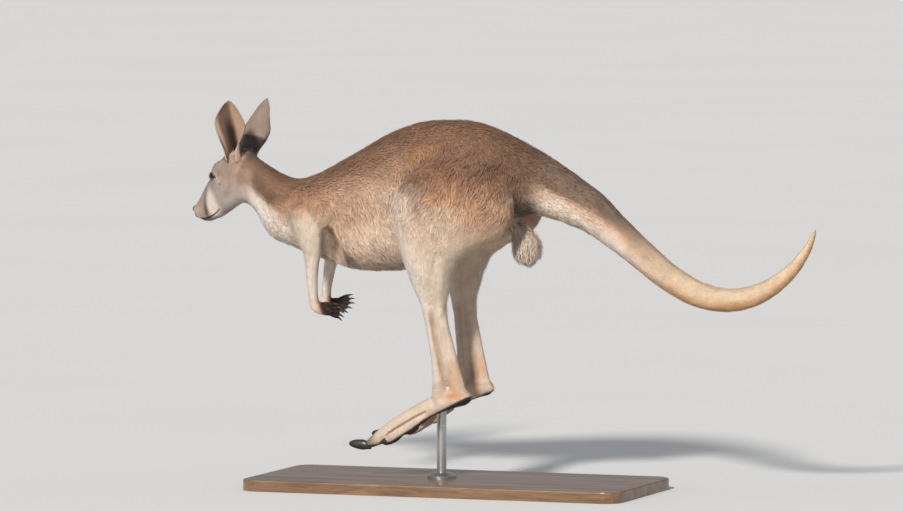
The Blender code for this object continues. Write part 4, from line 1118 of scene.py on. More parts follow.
def paint_ears(colour, places, normals, sides):
    for side in (-1.0, 1.0):
        local = into_ear(places, side)
        facing = into_head(normals + HEAD_AT)
        turned = facing @ ear_matrix(side)
        height = local[:, 2] / EARS[side][1]
        inner = ramp(0.10, -0.25, (turned[:, 0] * local[:, 0] + turned[:, 1] * (local[:, 1] + 0.010))
                     / np.maximum(np.hypot(local[:, 0], local[:, 1] + 0.010), 1e-6))
        # painted shadow: the near-black band low on the inner-facing back of each ear stands in for the
        # shadow that the near ear casts on the far one
        ear = lay(all_over("ear_back", places), pink=ramp(0.45, 0.20, height),
                  night=0.85 * ramp(0.40, 0.35, height) * ramp(0.25, -0.05, facing[:, 1] * side))
        half_wide = np.maximum(ear_wall(np.clip(height, 0.0, 1.0), side)[:, 0], 0.004)
        front = local[:, 0] * side
        # painted light and shade inside the cup: the rear wall is painted as lit tan, the front wall as
        # shaded brown, and the dark streak down the front half is a painted shadow of the front rim
        streak = np.exp(-((front - 0.022 * (height - 0.1)) / 0.0145) ** 4)
        pit = lay(all_over("ear_tan", places), ear_in=ramp(-0.004, 0.010, front),
                  dark=ramp(0.80, 0.45, height) * streak,
                  pink=ramp(0.80, 1.0, np.abs(front) / half_wide) * ramp(0.95, 0.60, height))
        ear = ear + (pit - ear) * inner[:, None]
        mine = (sides == side).astype(RAW)[:, None]
        colour = colour + (ear - colour) * mine
    return colour


# %% [markdown]
# The paints go on as a colour attribute with one value at each point. The mesh is fine enough to hold soft
# marks, and the attribute travels with the mesh, so no image is needed.

# %% Paint the skin
MASKS = {
    "neck": soft_mask("neck"), "tail": soft_mask("tail_root", "tail_upper", "tail_lower", "tail_tip"),
    "thigh": soft_mask("thigh", passes=26), "shank": soft_mask("shank"), "foot": soft_mask("foot", passes=6),
    "arm": soft_mask("upper_arm", "forearm", passes=20), "hand": soft_mask("hand", passes=4),
    "scrotum": soft_mask("scrotum", passes=4), "head": soft_mask("head", "nose", passes=16),
}


def paint_all():
    fine = ripple(POINTS, 0.020, 21)
    broad = ripple(POINTS, 0.090, 22)
    spine_angle = along("spine", mirrored(POINTS, SIDES))[1]
    colour = paint_body(POINTS, MASKS, spine_angle, fine, broad)
    head = paint_head(POINTS)
    colour = colour + (head - colour) * MASKS["head"][:, None]
    ears = paint_ears(colour, POINTS, NORMALS, SIDES)
    colour = np.where(ON_EAR[:, None], ears, colour)
    far, long, tall = eye_frame(HEAD_POINTS)
    near = (far < 0.03) & part_mask("head")
    inside = inside_lids(long, tall)
    colour = lay(colour, dark=near * ramp(-0.0034, -0.0014, inside) * 0.9)
    under_eye = np.exp(-((inside + 0.0062) / 0.0020) ** 2) * ramp(0.0, -0.004, tall)
    colour = lay(colour, white=near * 0.20 * under_eye)
    nose = soft_mask("nose", passes=3)
    snout = part_mask("head", "nose")
    colour = lay(colour, dark=0.75 * nose)
    colour = lay(colour, dark=snout * 0.95 * ramp(1.25, 0.85, nostril_gap(HEAD_POINTS)))
    gap, share = mouth_gap(HEAD_POINTS)
    lips = ramp(1.0, 0.45, gap / (0.0048 - 0.0034 * share)) * ramp(1.0, 0.95, share)
    colour = lay(colour, dark=snout * 0.9 * lips * ramp(-0.040, -0.052, HEAD_POINTS[:, 0]))
    bare = np.clip(nose + near * ramp(-0.004, -0.002, inside) + soles_and_palms(), 0.0, 1.0)
    return colour, bare


def soles_and_palms():
    x, z = POINTS[:, 0], POINTS[:, 2]
    return (MASKS["foot"] * ramp(0.002, -0.003, z - sole_line(x))
            + MASKS["hand"] * ramp(-0.2, -0.7, NORMALS[:, 2]) * ramp(-0.37, -0.35, x))


COLOUR, BARE = paint_all()
UNDER = {"trunk": 1.0, "thigh": 1.0, "neck": 0.8, "tail_root": 0.6, "scrotum": 0.1}
RUSTY = even_out(lookup(PARTS, UNDER), EDGES, halves(12))


def under_fur(colour, rusty, shade):
    """The colour at the roots of the coat: darker, and warmer over the trunk."""
    warm = colour * np.array((1.06, 0.90, 0.76))
    return (colour + (warm - colour) * rusty[:, None]) * shade


# %% [markdown]
# ## Finishes of skin and coat
# Both materials read the painted colour from the mesh. A shared group adds what a brush can't: fine streaks
# that run with the hair, from coordinates that follow the coat, and a mottle of a few centimetres. The
# streaks also make a small bump, which is most of what short, flat fur shows.

# %% Streak group
def new_group(name, inputs, outputs):
    group = bpy.data.node_groups.new(name, "ShaderNodeTree")
    for label, kind, value in inputs:
        socket = group.interface.new_socket(label, in_out="INPUT", socket_type=kind)
        if value is not None:
            socket.default_value = value
    for label, kind in outputs:
        group.interface.new_socket(label, in_out="OUTPUT", socket_type=kind)
    return group, group.nodes.new("NodeGroupInput"), group.nodes.new("NodeGroupOutput")


def add_node(tree, kind, settings=None, **inputs):
    """Adds a node; inputs are its sockets' values, or the sockets that feed them."""
    node = tree.nodes.new(kind)
    for label, value in (settings or {}).items():
        setattr(node, label, value)
    for label, value in inputs.items():
        socket = node.inputs[int(label[1:])] if label[0] == "_" else node.inputs[label.replace("_", " ")]
        if isinstance(value, bpy.types.NodeSocket):
            tree.links.new(value, socket)
        else:
            socket.default_value = value
    return node


def object_place(tree):
    return add_node(tree, "ShaderNodeTexCoord").outputs["Object"]


def stored(tree, name, output="Fac"):
    """A value that the mesh holds at each point."""
    return add_node(tree, "ShaderNodeAttribute", {"attribute_name": name}).outputs[output]


def cloud(tree, place, scale, detail, output="Fac", **more):
    """Soft noise of a size and fineness over a place."""
    node = add_node(tree, "ShaderNodeTexNoise", Vector=place, Scale=scale, Detail=detail, **more)
    return node.outputs[output]


def remap(tree, value, low, high, new_low, new_high):
    node = add_node(tree, "ShaderNodeMapRange", Value=value, _1=low, _2=high, _3=new_low, _4=new_high)
    return node.outputs["Result"]


def reckon(tree, operation, *values):
    numbered = {f"_{number}": value for number, value in enumerate(values)}
    return add_node(tree, "ShaderNodeMath", {"operation": operation}, **numbered).outputs[0]


def scaled(tree, colour, factor):
    node = add_node(tree, "ShaderNodeVectorMath", {"operation": "SCALE"}, _0=colour, Scale=factor)
    return node.outputs["Vector"]


def tinted(tree, value, *stops):
    """A colour for each value, from stops of place, red, green and blue."""
    node = add_node(tree, "ShaderNodeValToRGB", Fac=value)
    marks = node.color_ramp.elements
    while len(marks) < len(stops):
        marks.new(0.5)
    for mark, (place, *colour) in zip(marks, stops):
        mark.position, mark.color = place, (*colour, 1.0)
    return node.outputs["Color"]


def feed(tree, shader, **sources):
    for label, source in sources.items():
        tree.links.new(source, shader.inputs[label.replace("_", " ")])


def raise_by(tree, shader, height, strength, distance):
    bump = add_node(tree, "ShaderNodeBump", Strength=strength, Distance=distance, Height=height)
    feed(tree, shader, Normal=bump.outputs["Normal"])


def build_streaks():
    """Colour and height of hair whose own coordinates run across and along it."""
    group, given, made = new_group(
        "hair streaks",
        (("Colour", "NodeSocketColor", None), ("Strand", "NodeSocketVector", None),
         ("Contrast", "NodeSocketFloat", 0.3), ("Mottle", "NodeSocketFloat", 0.2)),
        (("Colour", "NodeSocketColor"), ("Height", "NodeSocketFloat"), ("Value", "NodeSocketFloat")))
    place = object_place(group)
    streak = cloud(group, given.outputs["Strand"], 1.0, 3.0, Roughness=0.6)
    mottle = cloud(group, place, 38.0, 3.0, Roughness=0.55)
    grain = cloud(group, place, 420.0, 2.0)
    total = None
    for value, amount, reach in (streak, "Contrast", 1.0), (mottle, "Mottle", 1.0), (grain, "Contrast", 0.4):
        change = remap(group, value, 0.25, 0.75, -reach, reach)
        change = reckon(group, "MULTIPLY", change, given.outputs[amount])
        total = change if total is None else reckon(group, "ADD", total, change)
    colour = scaled(group, given.outputs["Colour"], reckon(group, "ADD", total, 1.0))
    for label, source in (("Colour", colour), ("Height", streak), ("Value", mottle)):
        group.links.new(source, made.inputs[label])
    return group


STREAKS = build_streaks()


def new_material(name, **sockets):
    material = bpy.data.materials.new(name)
    material.use_nodes = True
    shader = material.node_tree.nodes["Principled BSDF"]
    for label, value in sockets.items():
        shader.inputs[label.replace("_", " ")].default_value = value
    return material, material.node_tree, shader


BARE_ROUGHNESS = 0.46


def fur_material(name, contrast, mottle, bump, distance, roughness, bare=False):
    material, tree, shader = new_material(name, Roughness=roughness, Specular_IOR_Level=0.25,
                                          Sheen_Weight=0.12, Sheen_Roughness=0.5)
    group = add_node(tree, "ShaderNodeGroup", {"node_tree": STREAKS},
                     Colour=stored(tree, "coat_colour", "Color"), Strand=stored(tree, "strand", "Vector"),
                     Contrast=contrast, Mottle=mottle)
    raise_by(tree, shader, group.outputs["Height"], bump, distance)
    if bare:
        rough = remap(tree, stored(tree, "bare"), 0.0, 1.0, roughness, BARE_ROUGHNESS)
    else:
        rough = remap(tree, group.outputs["Value"], 0.3, 0.7, roughness - 0.06, roughness + 0.06)
    feed(tree, shader, Base_Color=group.outputs["Colour"], Roughness=rough)
    return material


SKIN_FINISH = fur_material("skin_finish", 0.18, 0.10, 0.45, 0.0010, 0.80, bare=True)
COAT_FINISH = fur_material("coat_finish", 0.18, 0.16, 0.25, 0.0005, 0.76)

# %% [markdown]
# Under the hairs the skin is only seen between tufts and on the nose and the pads, but its colour fills
# every gap. It gets the same streaks as the coat, a little darker and matt.

# %% Dress the skin
def dress_skin():
    mesh = skin.data
    mesh.materials.clear()
    mesh.materials.append(SKIN_FINISH)
    mesh.shade_smooth()
    covered = np.where(ON_EAR, 0.0, 1.0) * (1.0 - BARE)
    shade = under_fur(COLOUR, RUSTY, 0.94)
    colour = COLOUR + (shade - COLOUR) * (covered * ramp(0.0, 1.0, RUSTY))[:, None]
    write_layer(mesh, "coat_colour", "FLOAT_COLOR", colour)
    write_layer(mesh, "bare", "FLOAT", BARE)
    round_length = np.radians(ANGLE) * even_out(OFF_GUIDE, EDGES, halves(8))
    strand = np.column_stack((round_length * 900.0, TRAVELLED * 70.0, POINTS[:, 1] * 5.0))
    write_layer(mesh, "strand", "FLOAT_VECTOR", strand)
    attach(skin, "root")
    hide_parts(*FLESH)


dress_skin()

# %% [markdown]
# ## The coat
# Real fur is replaced by small solid tufts, each a closed, slim spike that rises from just under the skin,
# bends over and lies along the body. Long tufts have a bend in the middle; short fur on the face, legs and
# feet is made of straight slivers. Neighbouring tips lean towards a shared point, which gives the wavy locks
# of the flank and thigh. Roots are spread by area, so that no part is thin.

# %% Coat measures
# length, width, wool (how far tips gather into locks) and rise (how steeply the tips stand off)
COAT = {
    "head": (0.0062, 0.0013, 0.10, 0.03), "nose": (0.0030, 0.0010, 0.0, 0.03),
    "ear": (0.0055, 0.0013, 0.0, 0.02),
    "neck": (0.0125, 0.0018, 0.20, 0.03), "trunk": (0.0190, 0.0022, 0.80, 0.035),
    "thigh": (0.0185, 0.0022, 0.90, 0.045), "shank": (0.0088, 0.0015, 0.10, 0.02),
    "foot": (0.0064, 0.0013, 0.05, 0.02), "upper_arm": (0.0105, 0.0017, 0.20, 0.02),
    "forearm": (0.0080, 0.0014, 0.10, 0.02), "hand": (0.0048, 0.0011, 0.0, 0.03),
    "tail_root": (0.0165, 0.0021, 0.50, 0.035), "tail_upper": (0.0115, 0.0018, 0.15, 0.02),
    "tail_lower": (0.0092, 0.0016, 0.15, 0.02), "tail_tip": (0.0085, 0.0014, 0.10, 0.02),
    "scrotum": (0.0170, 0.0020, 0.50, 0.30),
}
EAR_DEPTH = 0.0006


def coat_fields():
    """Length, width, wool and rise of the coat at every point, with soft changes from part to part."""
    rows = np.column_stack([lookup(PARTS, {name: row[k] for name, row in COAT.items()}) for k in range(4)])
    shank = low_thigh(PARTS, POINTS)[:, None]
    rows += (np.array(COAT["shank"]) - rows) * shank
    nape = (part_mask("head") * ramp(-0.010, 0.055, HEAD_POINTS[:, 0]))[:, None]
    rows += (np.array(COAT["neck"]) - rows) * nape
    rows = even_out(rows, EDGES, halves(30))
    length, width, wool, rise = rows.T
    x, z = POINTS[:, 0], POINTS[:, 2]
    trunk = part_mask("trunk")
    wool = wool * np.where(trunk, 0.40 + 0.60 * ramp(0.82, 0.72, z) + 0.4 * ramp(0.05, 0.12, x), 1.0)
    length = length * np.where(trunk, 0.85 + 0.15 * ramp(0.82, 0.72, z), 1.0)
    length = length * (1.0 - 0.40 * FACE * ramp(-0.060, -0.120, HEAD_POINTS[:, 0]))
    fringe = part_mask("thigh", "shank") * ramp(0.45, 0.50, z) * ramp(0.70, 0.62, z)
    fringe = fringe * ramp(0.25, 0.65, NORMALS[:, 0])
    belly = trunk * ramp(-0.34, -0.28, x) * ramp(-0.45, -0.85, NORMALS[:, 2])
    foot = [spot(HEAD_POINTS, np.array(EARS[side][0]) + (0.0, 0.0, 0.020), (0.030, 0.030, 0.018), 0.4)
            for side in (-1.0, 1.0)]
    ear_base = FACE * np.maximum(*foot)
    length = length * (1.0 + 0.60 * fringe) + 0.010 * ear_base
    rise = rise + 0.28 * fringe + 0.10 * belly + 0.30 * ear_base
    return length, width, np.clip(wool, 0.0, 1.0), rise


FACE = part_mask("head", "nose")
LENGTH, WIDTH, WOOL, RISE = coat_fields()
DEPTH = even_out(coat_depth(PARTS, POINTS) + EAR_DEPTH * ON_EAR, EDGES, halves(16))
# lumps of a couple of centimetres, where wool bunches and parts
LUMPS = ripple(POINTS, 0.024, 31)
# the way a tuft stands off: the skin's normal, evened out except on the thin ears
STAND = np.where(ON_EAR[:, None], NORMALS, unit(even_out(NORMALS, EDGES, halves(6))))


def bald():
    """Where no tuft grows: eyes, lids, nostrils, mouth, nose, soles and palms."""
    far, long, tall = eye_frame(HEAD_POINTS)
    bare = np.where((far < 0.03) & FACE, ramp(-0.0036, -0.0024, inside_lids(long, tall)), 0.0)
    bare = np.maximum(bare, FACE * ramp(1.9, 1.5, nostril_gap(HEAD_POINTS)))
    line, _ = mouth_gap(HEAD_POINTS)
    bare = np.maximum(bare, FACE * ramp(0.0020, 0.0012, line) * (HEAD_POINTS[:, 0] < -0.045))
    bare = np.maximum(bare, part_mask("nose"))
    bare = np.maximum(bare, ramp(0.4, 0.7, BARE))
    return np.maximum(bare, ramp(0.45, 0.25, (NORMALS * STAND).sum(axis=1)))


BALD = bald()


# %% [markdown]
# Wavy fur parts into locks of a finger's width, whose tips lean together. A few thousand lock centres are
# spread over the skin, and every tuft near one leans towards it and shares its tone.

# %% Locks: shared points that tips gather to
LOCK_EVERY = 0.0075


def spread_roots(chosen, density, stream):
    """Points spread evenly by area over the chosen triangles: triangle numbers and corner weights."""
    a, b, c = (POINTS[TRIANGLES[chosen, k]] for k in range(3))
    area = np.linalg.norm(np.cross(b - a, c - a), axis=1) / 2.0 * density
    total = np.cumsum(area)
    count = int(total[-1])
    at = (np.arange(count) + stream.uniform(0.0, 1.0, count)) / count * total[-1]
    picked = chosen[np.minimum(np.searchsorted(total, at), len(chosen) - 1)]
    first, second = stream.uniform(0.0, 1.0, (2, count))
    fold = first + second > 1.0
    first[fold], second[fold] = 1.0 - first[fold], 1.0 - second[fold]
    return picked, np.column_stack((1.0 - first - second, first, second))


def at_roots(values, picked, weights):
    corners = values[TRIANGLES[picked]]
    if corners.ndim == 2:
        return (corners * weights).sum(axis=1)
    return (corners * weights[:, :, None]).sum(axis=1)


def plant_locks():
    stream = np.random.default_rng(41)
    everywhere = np.arange(len(TRIANGLES))
    picked, weights = spread_roots(everywhere, np.full(len(TRIANGLES), 1.0 / LOCK_EVERY ** 2), stream)
    places = at_roots(POINTS, picked, weights)
    tree = KDTree(len(places))
    for number, place in enumerate(places.tolist()):
        tree.insert(place, number)
    tree.balance()
    return tree, places, stream.normal(0.0, 1.0, (len(places), 2))


LOCK_TREE, LOCK_AT, LOCK_LUCK = plant_locks()


def nearest_locks(root, lie, across):
    """Each root's lock: of the five nearest, the one it is most in line with along the lie."""
    near = np.array([[found[1] for found in LOCK_TREE.find_n(place, 5)] for place in root.tolist()])
    gap = LOCK_AT[near] - root[:, None, :]
    sideways = (gap * across[:, None, :]).sum(axis=2)
    ahead = (gap * lie[:, None, :]).sum(axis=2)
    best = (sideways ** 2 + (0.25 * ahead) ** 2).argmin(axis=1)
    rows = np.arange(len(root))
    return near[rows, best], sideways[rows, best]


print("locks:", len(LOCK_AT))

# %% [markdown]
# A tuft is a thin bent blade of a few triangles: it leaves the skin low, follows the body and ends in a
# point. All tufts of a piece are worked out at once as arrays and become one mesh, since a mesh operator for
# each of many thousands would take hours. Their shading normals follow the skin, which makes the hairs look
# soft.

# %% Grow one piece of coat
# a tuft is two triangles of points and a tip, and a sliver one triangle of points and a tip
TUFT_FACES = np.array(((0, 2, 1), (0, 1, 4), (0, 4, 3), (1, 2, 5), (1, 5, 4), (2, 0, 3), (2, 3, 5),
                       (3, 4, 6), (4, 5, 6), (5, 3, 6)))
TUFT_ACROSS = np.array((-1.0, 0.0, 1.0, -1.0, 0.0, 1.0, 0.0))
TUFT_ALONG = np.array((0.0, 0.0, 0.0, 0.5, 0.5, 0.5, 1.0))
SLIVER_FACES = np.array(((0, 2, 1), (0, 1, 3), (1, 2, 3), (2, 0, 3)))
SLIVER_ACROSS = np.array((-1.0, 0.0, 1.0, 0.0))
SLIVER_ALONG = np.array((0.0, 0.0, 0.0, 1.0))
# how deep a root sits, how far tufts swing from the lie and, in wool, gather, lift and wave with their lock
SUNK, SWING, GATHER, LOCK_LIFT, WAVE = 0.0006, 0.13, 0.62, 0.16, 0.10
# how far a tuft's shading turns from the skin's towards its own sides: fur scatters light, so not far
ROUNDED = 0.35
PATCH = 0.003


def unwrap(sides, places, numbers):
    """Where each root lies on the skin's own unwrap: distance along and round its guide, in one square."""
    travelled, angle, off, _ = guided(places, numbers, sides)
    usual = np.median(off)
    flat = np.column_stack((travelled, np.radians(angle) * usual))
    low, high = flat.min(axis=0), flat.max(axis=0)
    return (flat - low) / (high - low).max() * (0.98 - PATCH) + 0.01 + PATCH / 2.0


def grow(name, chosen, density, bent, seed):
    stream = np.random.default_rng(seed)
    numbers = np.flatnonzero(chosen)
    keep = 1.0 - BALD[TRIANGLES[numbers]].max(axis=1)
    picked, weights = spread_roots(numbers, density * keep, stream)

    def here(values):
        return at_roots(values, picked, weights)

    # where each tuft roots, and which way it points
    root = here(POINTS)
    normal = unit(here(STAND))
    lie = tangent_to(here(LIE), normal)
    count = len(root)
    swing = stream.normal(0.0, SWING, count)
    lie = unit(lie * np.cos(swing)[:, None] + np.cross(normal, lie) * np.sin(swing)[:, None])
    across = np.cross(lie, normal)
    # how long, wide and high it is
    length = here(LENGTH) * stream.uniform(0.72, 1.25, count)
    width = (here(WIDTH) * stream.uniform(0.75, 1.25, count))[:, None]
    depth, wool = here(DEPTH), here(WOOL)
    rise = here(RISE) * stream.uniform(0.2, 1.8, count)
    top = depth * stream.uniform(0.35, 1.00, count) + rise * length
    # where its middle and its tip go: towards the tip of its lock
    lock, off_lock = nearest_locks(root, lie, across)
    top = top + wool * depth * LOCK_LIFT * np.clip(LOCK_LUCK[lock, 1], -1.5, 1.5)
    gather = GATHER * wool * stream.uniform(0.3, 1.0, count)
    wave = WAVE * length * np.sin(LOCK_LUCK[lock, 1] * 2.0 + stream.normal(0.0, 0.4, count))
    tips = root + lie * length[:, None] + normal * top[:, None] + across * (off_lock * gather)[:, None]
    middle = root + (tips - root) * 0.48 + normal * (0.40 * top)[:, None] + across * (wave * wool)[:, None]
    # its colour: a random tone for each lock, lighter in its heart and darker towards its edge, a painted
    # shade for the partings between locks
    edge = np.minimum(np.abs(off_lock) / (0.5 * LOCK_EVERY), 1.0)
    lock_tone_and_parting_shade = 0.12 * LOCK_LUCK[lock, 0] + 0.08 * here(LUMPS) + 0.14 - 0.36 * edge
    tone = 1.0 + 0.04 * stream.normal(0.0, 1.0, count) + wool * lock_tone_and_parting_shade
    colour = here(COLOUR) * np.clip(tone, 0.6, 1.4)[:, None]
    base = root - normal * SUNK
    rows = [base - across * (width * 0.5), base + normal * (width * 0.22), base + across * (width * 0.5)]
    shades = [under_fur(colour, here(RUSTY), 0.92)] * 3
    if bent:
        rows += [middle - across * (width * 0.45), middle + normal * (width * 0.18),
                 middle + across * (width * 0.45)]
        shades += [colour] * 3
    rows.append(tips)
    shades.append(colour * 1.03)
    faces, sideways, lengthways = ((TUFT_FACES, TUFT_ACROSS, TUFT_ALONG) if bent
                                   else (SLIVER_FACES, SLIVER_ACROSS, SLIVER_ALONG))
    each = len(rows)
    places = np.stack(rows, axis=1).reshape(-1, 3)
    corners = (np.arange(count)[:, None, None] * each + faces[None]).reshape(-1)
    mesh = bpy.data.meshes.new(name)
    mesh.vertices.add(len(places))
    mesh.loops.add(len(corners))
    mesh.polygons.add(len(corners) // 3)
    mesh.vertices.foreach_set("co", places.astype(np.float32).ravel())
    mesh.loops.foreach_set("vertex_index", corners.astype(np.int32))
    mesh.polygons.foreach_set("loop_start", np.arange(0, len(corners), 3, dtype=np.int32))
    mesh.update(calc_edges=True)
    mesh.shade_smooth()
    tip = sideways * ROUNDED * (1.0 + wool[:, None])
    soft = unit((normal[:, None, :] + across[:, None, :] * tip[:, :, None]).reshape(-1, 3))
    mesh.normals_split_custom_set_from_vertices(soft.astype(np.float32))
    write_layer(mesh, "coat_colour", "FLOAT_COLOR", np.stack(shades, axis=1).reshape(-1, 3))
    luck = stream.uniform(0.0, 50.0, count)
    strand = np.stack((np.tile(sideways * 2.4, (count, 1)) + luck[:, None],
                       np.tile(lengthways * 1.3, (count, 1)), np.repeat(luck[:, None], each, axis=1)), axis=2)
    write_layer(mesh, "strand", "FLOAT_VECTOR", strand.reshape(-1, 3))
    patch = unwrap(np.where(here(SIDES) < 0, -1.0, 1.0), root, PARTS[TRIANGLES[picked, 0]])
    spots = patch[:, None, :] + np.column_stack((lengthways - 0.5, sideways * 0.5))[None] * PATCH
    layer = mesh.uv_layers.new(name="OFBake")
    layer.uv.foreach_set("vector", spots.reshape(-1, 2)[corners].astype(np.float32).ravel())
    mesh.materials.append(COAT_FINISH)
    piece = new_object(name, mesh)
    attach(piece, "root")
    print(f"{name}: {count} tufts, {len(corners) // 3} triangles")
    return piece


# %% [markdown]
# One mesh can't hold the whole coat, so it is grown in pieces by region. Neighbours use the same rules up to
# their shared edge, and so no border shows in the fur.

# %% Grow the whole coat
FORE = POINTS[:, 0] < -0.19


def pair(region, mask, density, bent):
    """A region's row for the left side and one for the right."""
    return tuple((f"coat_{side}_{region}", mask & own, density, bent)
                 for side, own in (("left", SIDES < 0), ("right", SIDES > 0)))


# name, where, tufts to the square metre, whether they are bent
COAT_PIECES = (
    *pair("face", part_mask("head"), 420000, False),
    *pair("ear", ON_EAR, 330000, False),
    ("coat_neck", part_mask("neck"), 150000, True),
    *pair("chest", part_mask("trunk") & FORE, 105840, True),
    *pair("back", part_mask("trunk") & ~FORE, 105840, True),
    *pair("thigh", part_mask("thigh"), 112700, True),
    *pair("shank", part_mask("shank"), 225000, False),
    *pair("foot", part_mask("foot"), 260000, False),
    *pair("arm", part_mask("upper_arm", "forearm"), 280000, False),
    *pair("hand", part_mask("hand"), 320000, False),
    ("coat_scrotum", part_mask("scrotum"), 130000, True),
    ("coat_tail_root", part_mask("tail_root"), 125000, True),
    ("coat_tail_upper", part_mask("tail_upper"), 130000, True),
    ("coat_tail_end", part_mask("tail_lower", "tail_tip"), 280000, False),
)


def grow_all():
    """Gives each triangle to the first piece that holds most of its corners, so that it grows hair once."""
    total = 0
    taken = np.zeros(len(TRIANGLES), bool)
    for seed, (name, mask, density, bent) in enumerate(COAT_PIECES, 100):
        chosen = (mask[TRIANGLES].sum(axis=1) >= 2) & ~taken
        taken |= chosen
        piece = grow(name, chosen, density, bent, seed)
        total += len(piece.data.polygons)
    print("coat triangles:", total, "| bare triangles:", int((~taken).sum()))


grow_all()

# %% [markdown]
# ## Eyes
# The eye is a dark brown glass ball with a slight bulge over the iris. It is a sphere whose front is drawn
# out, and its colours come from a distance stored on the mesh: black pupil, brown iris, dark rim.

# %% Make the eyes
def eye_material():
    material, tree, shader = new_material("glass_eye", Roughness=0.12, Specular_IOR_Level=0.35)
    fibre = cloud(tree, object_place(tree), 900.0, 4.0)
    wave = reckon(tree, "MULTIPLY_ADD", fibre, 0.10, stored(tree, "from_pupil"))
    feed(tree, shader, Base_Color=tinted(
        tree, wave, (0.0, 0.002, 0.0015, 0.001), (0.36, 0.003, 0.002, 0.0015), (0.42, 0.030, 0.014, 0.006),
        (0.72, 0.045, 0.020, 0.008), (0.86, 0.010, 0.006, 0.004), (1.0, 0.05, 0.035, 0.03)))
    return material


def make_eye(name, side, material):
    work = bmesh.new()
    bmesh.ops.create_uvsphere(work, u_segments=48, v_segments=32, radius=EYE_RADIUS)
    for face in work.faces:
        face.smooth = True
    eye = from_bmesh(name, work)
    ball = read_points(eye.data)
    ways = unit(ball)
    long, tall, front = ways @ EYE_LONG, ways @ EYE_TALL, ways @ GAZE
    pupil = np.hypot(long / 1.35, tall) * EYE_RADIUS
    bulge = 0.0010 * ramp(0.80, 0.98, front)
    head = np.array(EYE_AT) + ways * (EYE_RADIUS + bulge)[:, None]
    write_layer(eye.data, "from_pupil", "FLOAT", np.where(front > 0, np.clip(pupil / 0.0115, 0, 1), 1.0))
    write_points(eye.data, out_of_head(mirrored(head, np.full(len(head), side))) + HEAD_AT)
    if side < 0:
        eye.data.flip_normals()
    eye.data.materials.append(material)
    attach(eye, "root")
    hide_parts(name.replace("glass_", ""))


GLASS = eye_material()
make_eye("glass_left_eye", -1.0, GLASS)
make_eye("glass_right_eye", 1.0, GLASS)

# %% [markdown]
# ## Claws
# Each claw is a sphere drawn out into a curved, tapering horn: blunt and heavy on the long fourth toe, and
# fine and sharp on the hands. The horn is nearly black, with growth lines across it and scuffs near its tip.

# %% Make the claws
# toe, where its claw starts, its way, then length, radius, droop, width for its height and bluntness
FOOT_CLAWS = (
    ("4", (-0.206, 0.075, 0.1140), (-1.0, 0.0, 0.10), 0.064, 0.0132, 0.02, 0.70, 3.2),
    ("5", (-0.150, 0.100, 0.137), (-1.0, 0.0, -0.40), 0.033, 0.0066, 0.12, 0.80, 2.0),
    ("3", (-0.136, 0.0575, 0.155), (-1.0, 0.0, -0.47), 0.024, 0.0034, 0.14, 0.90, 1.7),
    ("2", (-0.136, 0.0490, 0.155), (-1.0, 0.0, -0.47), 0.024, 0.0034, 0.14, 0.90, 1.7),
)
RIGHT_FOOT_SHIFT = np.array((0.007, 0.0, 0.014))
HAND_CLAW = (0.0165, 0.0030, 0.25, 0.8, 1.6)
CLAW_ROOT = 0.0055


def horn_material():
    material, tree, shader = new_material("horn", Specular_IOR_Level=0.5, Coat_Roughness=0.25)
    lines = add_node(tree, "ShaderNodeTexNoise", {"noise_dimensions": "1D"}, W=stored(tree, "growth"),
                     Scale=26.0, Detail=3.0).outputs["Fac"]
    scuff = cloud(tree, object_place(tree), 260.0, 5.0)
    both = reckon(tree, "MULTIPLY", lines, scuff)
    tint = tinted(tree, both, (0.12, 0.010, 0.008, 0.007), (0.55, 0.075, 0.058, 0.045))
    feed(tree, shader, Base_Color=tint, Roughness=remap(tree, scuff, 0.3, 0.7, 0.28, 0.55))
    raise_by(tree, shader, lines, 0.5, 0.0004)
    return material


HORN = horn_material()


def make_claw(name, node, start, way, length, radius, droop, flat, blunt):
    work = bmesh.new()
    bmesh.ops.create_uvsphere(work, u_segments=20, v_segments=18, radius=1.0)
    for face in work.faces:
        face.smooth = True
    claw = from_bmesh(name, work)
    ball = read_points(claw.data)
    way = unit(np.array(way, RAW))
    wide = unit(np.cross(way, (0.0, 0.0, 1.0)))
    tall = np.cross(wide, way)
    share = (ball[:, 2] + 1.0) / 2.0
    ring = unit(ball[:, :2])
    heavy = blunt > 3.0
    size = radius * np.clip(1.0 - share ** blunt, 0.0, 1.0) ** (0.5 if heavy else 0.75)
    size = size * np.clip(share / 0.04, 0.0, 1.0) ** 0.5 * (1.0 - 0.30 * heavy * ramp(0.42, 0.10, share))
    ridge = 1.0 + 0.10 * np.clip(ring[:, 1], 0.0, 1.0)
    centre = np.array(start) + way * (length * share)[:, None] - tall * (droop * length * share ** 2)[:, None]
    shape = centre + wide * (ring[:, 0] * size * flat)[:, None] + tall * (ring[:, 1] * size * ridge)[:, None]
    write_points(claw.data, shape)
    with edited(claw.data) as work:
        bmesh.ops.recalc_face_normals(work, faces=work.faces)
    write_layer(claw.data, "growth", "FLOAT", share)
    claw.data.materials.append(HORN)
    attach(claw, "root")
    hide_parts(node)


